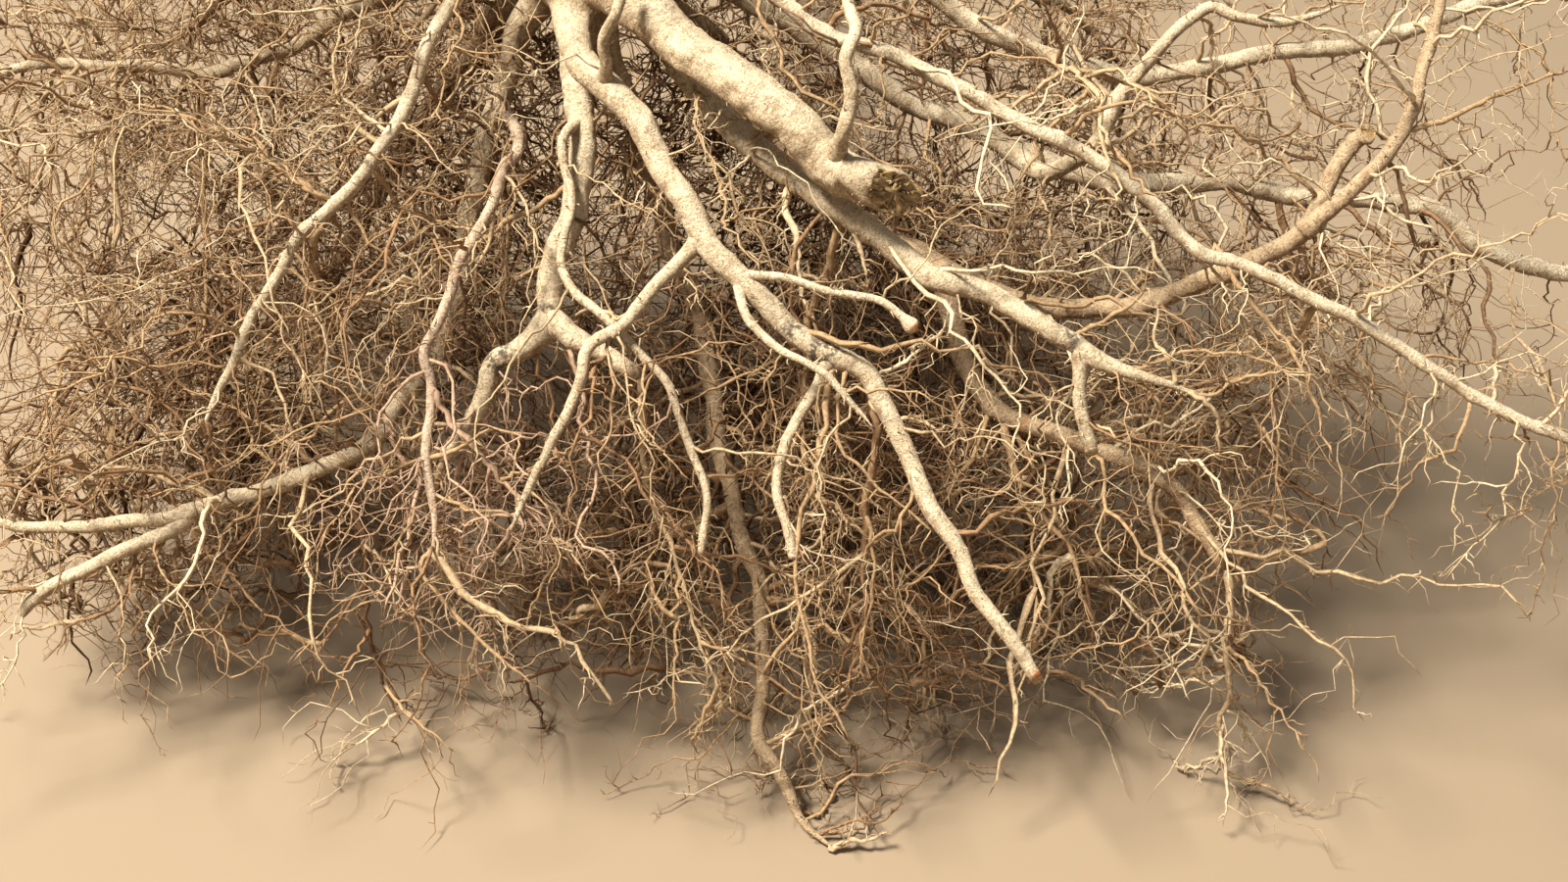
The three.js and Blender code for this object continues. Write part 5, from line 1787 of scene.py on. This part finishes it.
def rootlet_bark(name, tint):
    """A plain tint with a fine grit, as the patterns of so small a thing can't be seen."""
    material, tree, shader = new_material(name)
    grit = clouds(tree, wire(tree, "TexCoord").outputs["Object"], **ROOTLET_GRIT)
    darker = colour(*(part * DARKER for part in tint))
    base = layered(tree, darker, [(remapped(tree, grit, 0.36, 0.60), colour(*tint))])
    finish_shader(tree, shader, base, {"grit": grit}, ROOTLET_BUMP)
    return material


# %% Make the rootlets, one piece or more for each tint
PIECE_LIMIT = 190000


def rootlet_pieces(tone):
    """The tubes of one tint, in lists that each stay within a piece's limit of triangles."""
    parts, held = [], 0
    for batch in batches:
        sides = LEVELS[batch["level"]]["sides"]
        per_tube = triangles_in(batch, sides)
        rows = np.flatnonzero(batch["tones"] == tone)
        while len(rows):
            fits = max(1, (PIECE_LIMIT - held) // per_tube)
            take, rows = rows[:fits], rows[fits:]
            parts.append(tubes_of(batch["paths"][take], batch["widths"][take], sides))
            held += len(take) * per_tube
            if held + per_tube > PIECE_LIMIT:
                yield parts
                parts, held = [], 0
    if parts:
        yield parts


triangles = 0
for tone, (tint_name, tint) in enumerate(TINTS.items()):
    material = rootlet_bark(tint_name + "_rootlets", tint)
    for number, parts in enumerate(rootlet_pieces(tone), start=1):
        name = f"rootlets_{tint_name}_{number}"
        triangles += joined_piece(name, parts, material, "rootlets", ROOTLET_MASSES)
print("rootlets have", triangles, "triangles")

# %% [markdown]
# ## Twigs and buds
# The stem's tip and its three branches carry leafless twigs, each with small pointed buds in
# turn on either side. The twigs follow the same rule as their solids, and carry one finer level.
# All buds are copies of one little form with a few dozen faces, placed by arrays.

# %% Twigs
FINE_TWIG = {"gap": 46, "first": 0.15, "shortest": 45, "spread": 75, "mostly_short": 1,
             "shorter_at_tip": 0.4, "width": (1.7, 0.7), "of_parent": 0.75, "level": "twig"}
TIP_TWIGS = {"count": 4, "reach": 1.5}


def finer_twigs(batch):
    """The finer twigs that a batch of twigs carries, as far as they stay inside the plant's box."""
    _, *grown = finer(*batch, FINE_TWIG)
    inside = inside_box(grown[0])
    return [column[inside] for column in grown]


twig_batches = list(smooth_masses(TWIG_MASSES, TWIG_HABIT, **SMOOTHING["twigs"]))
twig_batches += [finer_twigs(batch) for batch in twig_batches]
starts, ways, lengths, widths = tip_rootlets("branch_up", TIP_TWIGS["count"])
lengths = lengths * TIP_TWIGS["reach"]
twig_batches.append((grow(starts, ways, lengths, widths, "twig"), lengths, widths))
print(sum(len(paths) for paths, lengths, widths in twig_batches), "twigs")

# %% Buds
BUD = {"length": 5.2, "width": 2.3, "gap": 17, "first": 0.12, "lean": math.radians(28), "sunk": 0.33,
       "tip_sunk": 0.6, "smallest": 0.75, "larger": 0.5, "tip_size": 1.35, "narrowing": 0.55, "belly": 1.3,
       "askew": np.array([0.33, 0.21, 0.92])}


def bud_form():
    """One pointed bud along +Z, with its foot at the origin."""
    form = bmesh.new()
    bmesh.ops.create_uvsphere(form, u_segments=6, v_segments=5, radius=0.5)
    for corner in form.verts:
        up = corner.co.z + 0.5
        wide = (1 - BUD["narrowing"] * up) * BUD["belly"]
        corner.co = (corner.co.x * wide, corner.co.y * wide, up)
    bmesh.ops.triangulate(form, faces=form.faces)
    corners = np.array([corner.co for corner in form.verts])
    faces = np.array([[corner.index for corner in face.verts] for face in form.faces])
    form.free()
    return corners, faces


def buds_on(paths, lengths, widths):
    """Buds along a batch of twigs, and a larger one at each tip, as corners and triangles."""
    parent, starts, ways, share = sprout(paths, lengths, BUD["gap"], BUD["first"])
    index = np.minimum((share * (paths.shape[1] - 1)).astype(int), paths.shape[1] - 2)
    ahead = unit(paths[parent, index + 1] - paths[parent, index])
    aside = unit(ways - ahead * (ways * ahead).sum(-1, keepdims=True))
    onward = unit(paths[:, -1] - paths[:, -2])
    starts = np.vstack([starts + aside * (widths[parent] * BUD["sunk"])[:, None],
                        paths[:, -1] - BUD["tip_sunk"] * onward])
    up = np.vstack([ahead * math.cos(BUD["lean"]) + aside * math.sin(BUD["lean"]), onward])
    side = unit(np.cross(up, BUD["askew"]))
    across = np.cross(up, side)
    size = BUD["smallest"] + BUD["larger"] * rng.random((len(starts), 1, 1))
    size[-len(paths):] *= BUD["tip_size"]
    form = bud_corners * np.array([BUD["width"], BUD["width"], BUD["length"]]) * size
    corners = starts[:, None] + form @ np.stack([side, across, up], axis=1)
    corners[..., 2] = np.maximum(corners[..., 2], LOWEST_CORNER - CROWN_HEIGHT)
    return many_of(corners, bud_faces)


bud_corners, bud_faces = bud_form()
bud_parts = [buds_on(*batch) for batch in twig_batches]
print(sum(len(faces) for corners, faces in bud_parts) // len(bud_faces), "buds")

# %% Twig and bud materials, and their pieces
TWIG_TINT = (0.205, 0.13, 0.078)
BUD_TINT = (0.15, 0.07, 0.04)
twig_parts = [tubes_of(paths, widths, LEVELS["twig"]["sides"]) for paths, lengths, widths in twig_batches]
made = joined_piece("twigs", twig_parts, rootlet_bark("twig_bark", TWIG_TINT), "twigs", TWIG_MASSES)
buds = joined_piece("buds", bud_parts, rootlet_bark("bud_scales", BUD_TINT), "twigs", TWIG_MASSES)
print("twigs have", made, "triangles and buds", buds)

# %% [markdown]
# ## Sizes, and the end
# The dressed plant has to keep to the solids' box, so both boxes are written down before the
# The box of the dressed plant is printed at the end, as the solids' box was at the start.

# %% Print the dressed plant's box and finish
low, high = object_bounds()
print("the dressed plant spans", [round(side, 3) for side in high - low], "m")
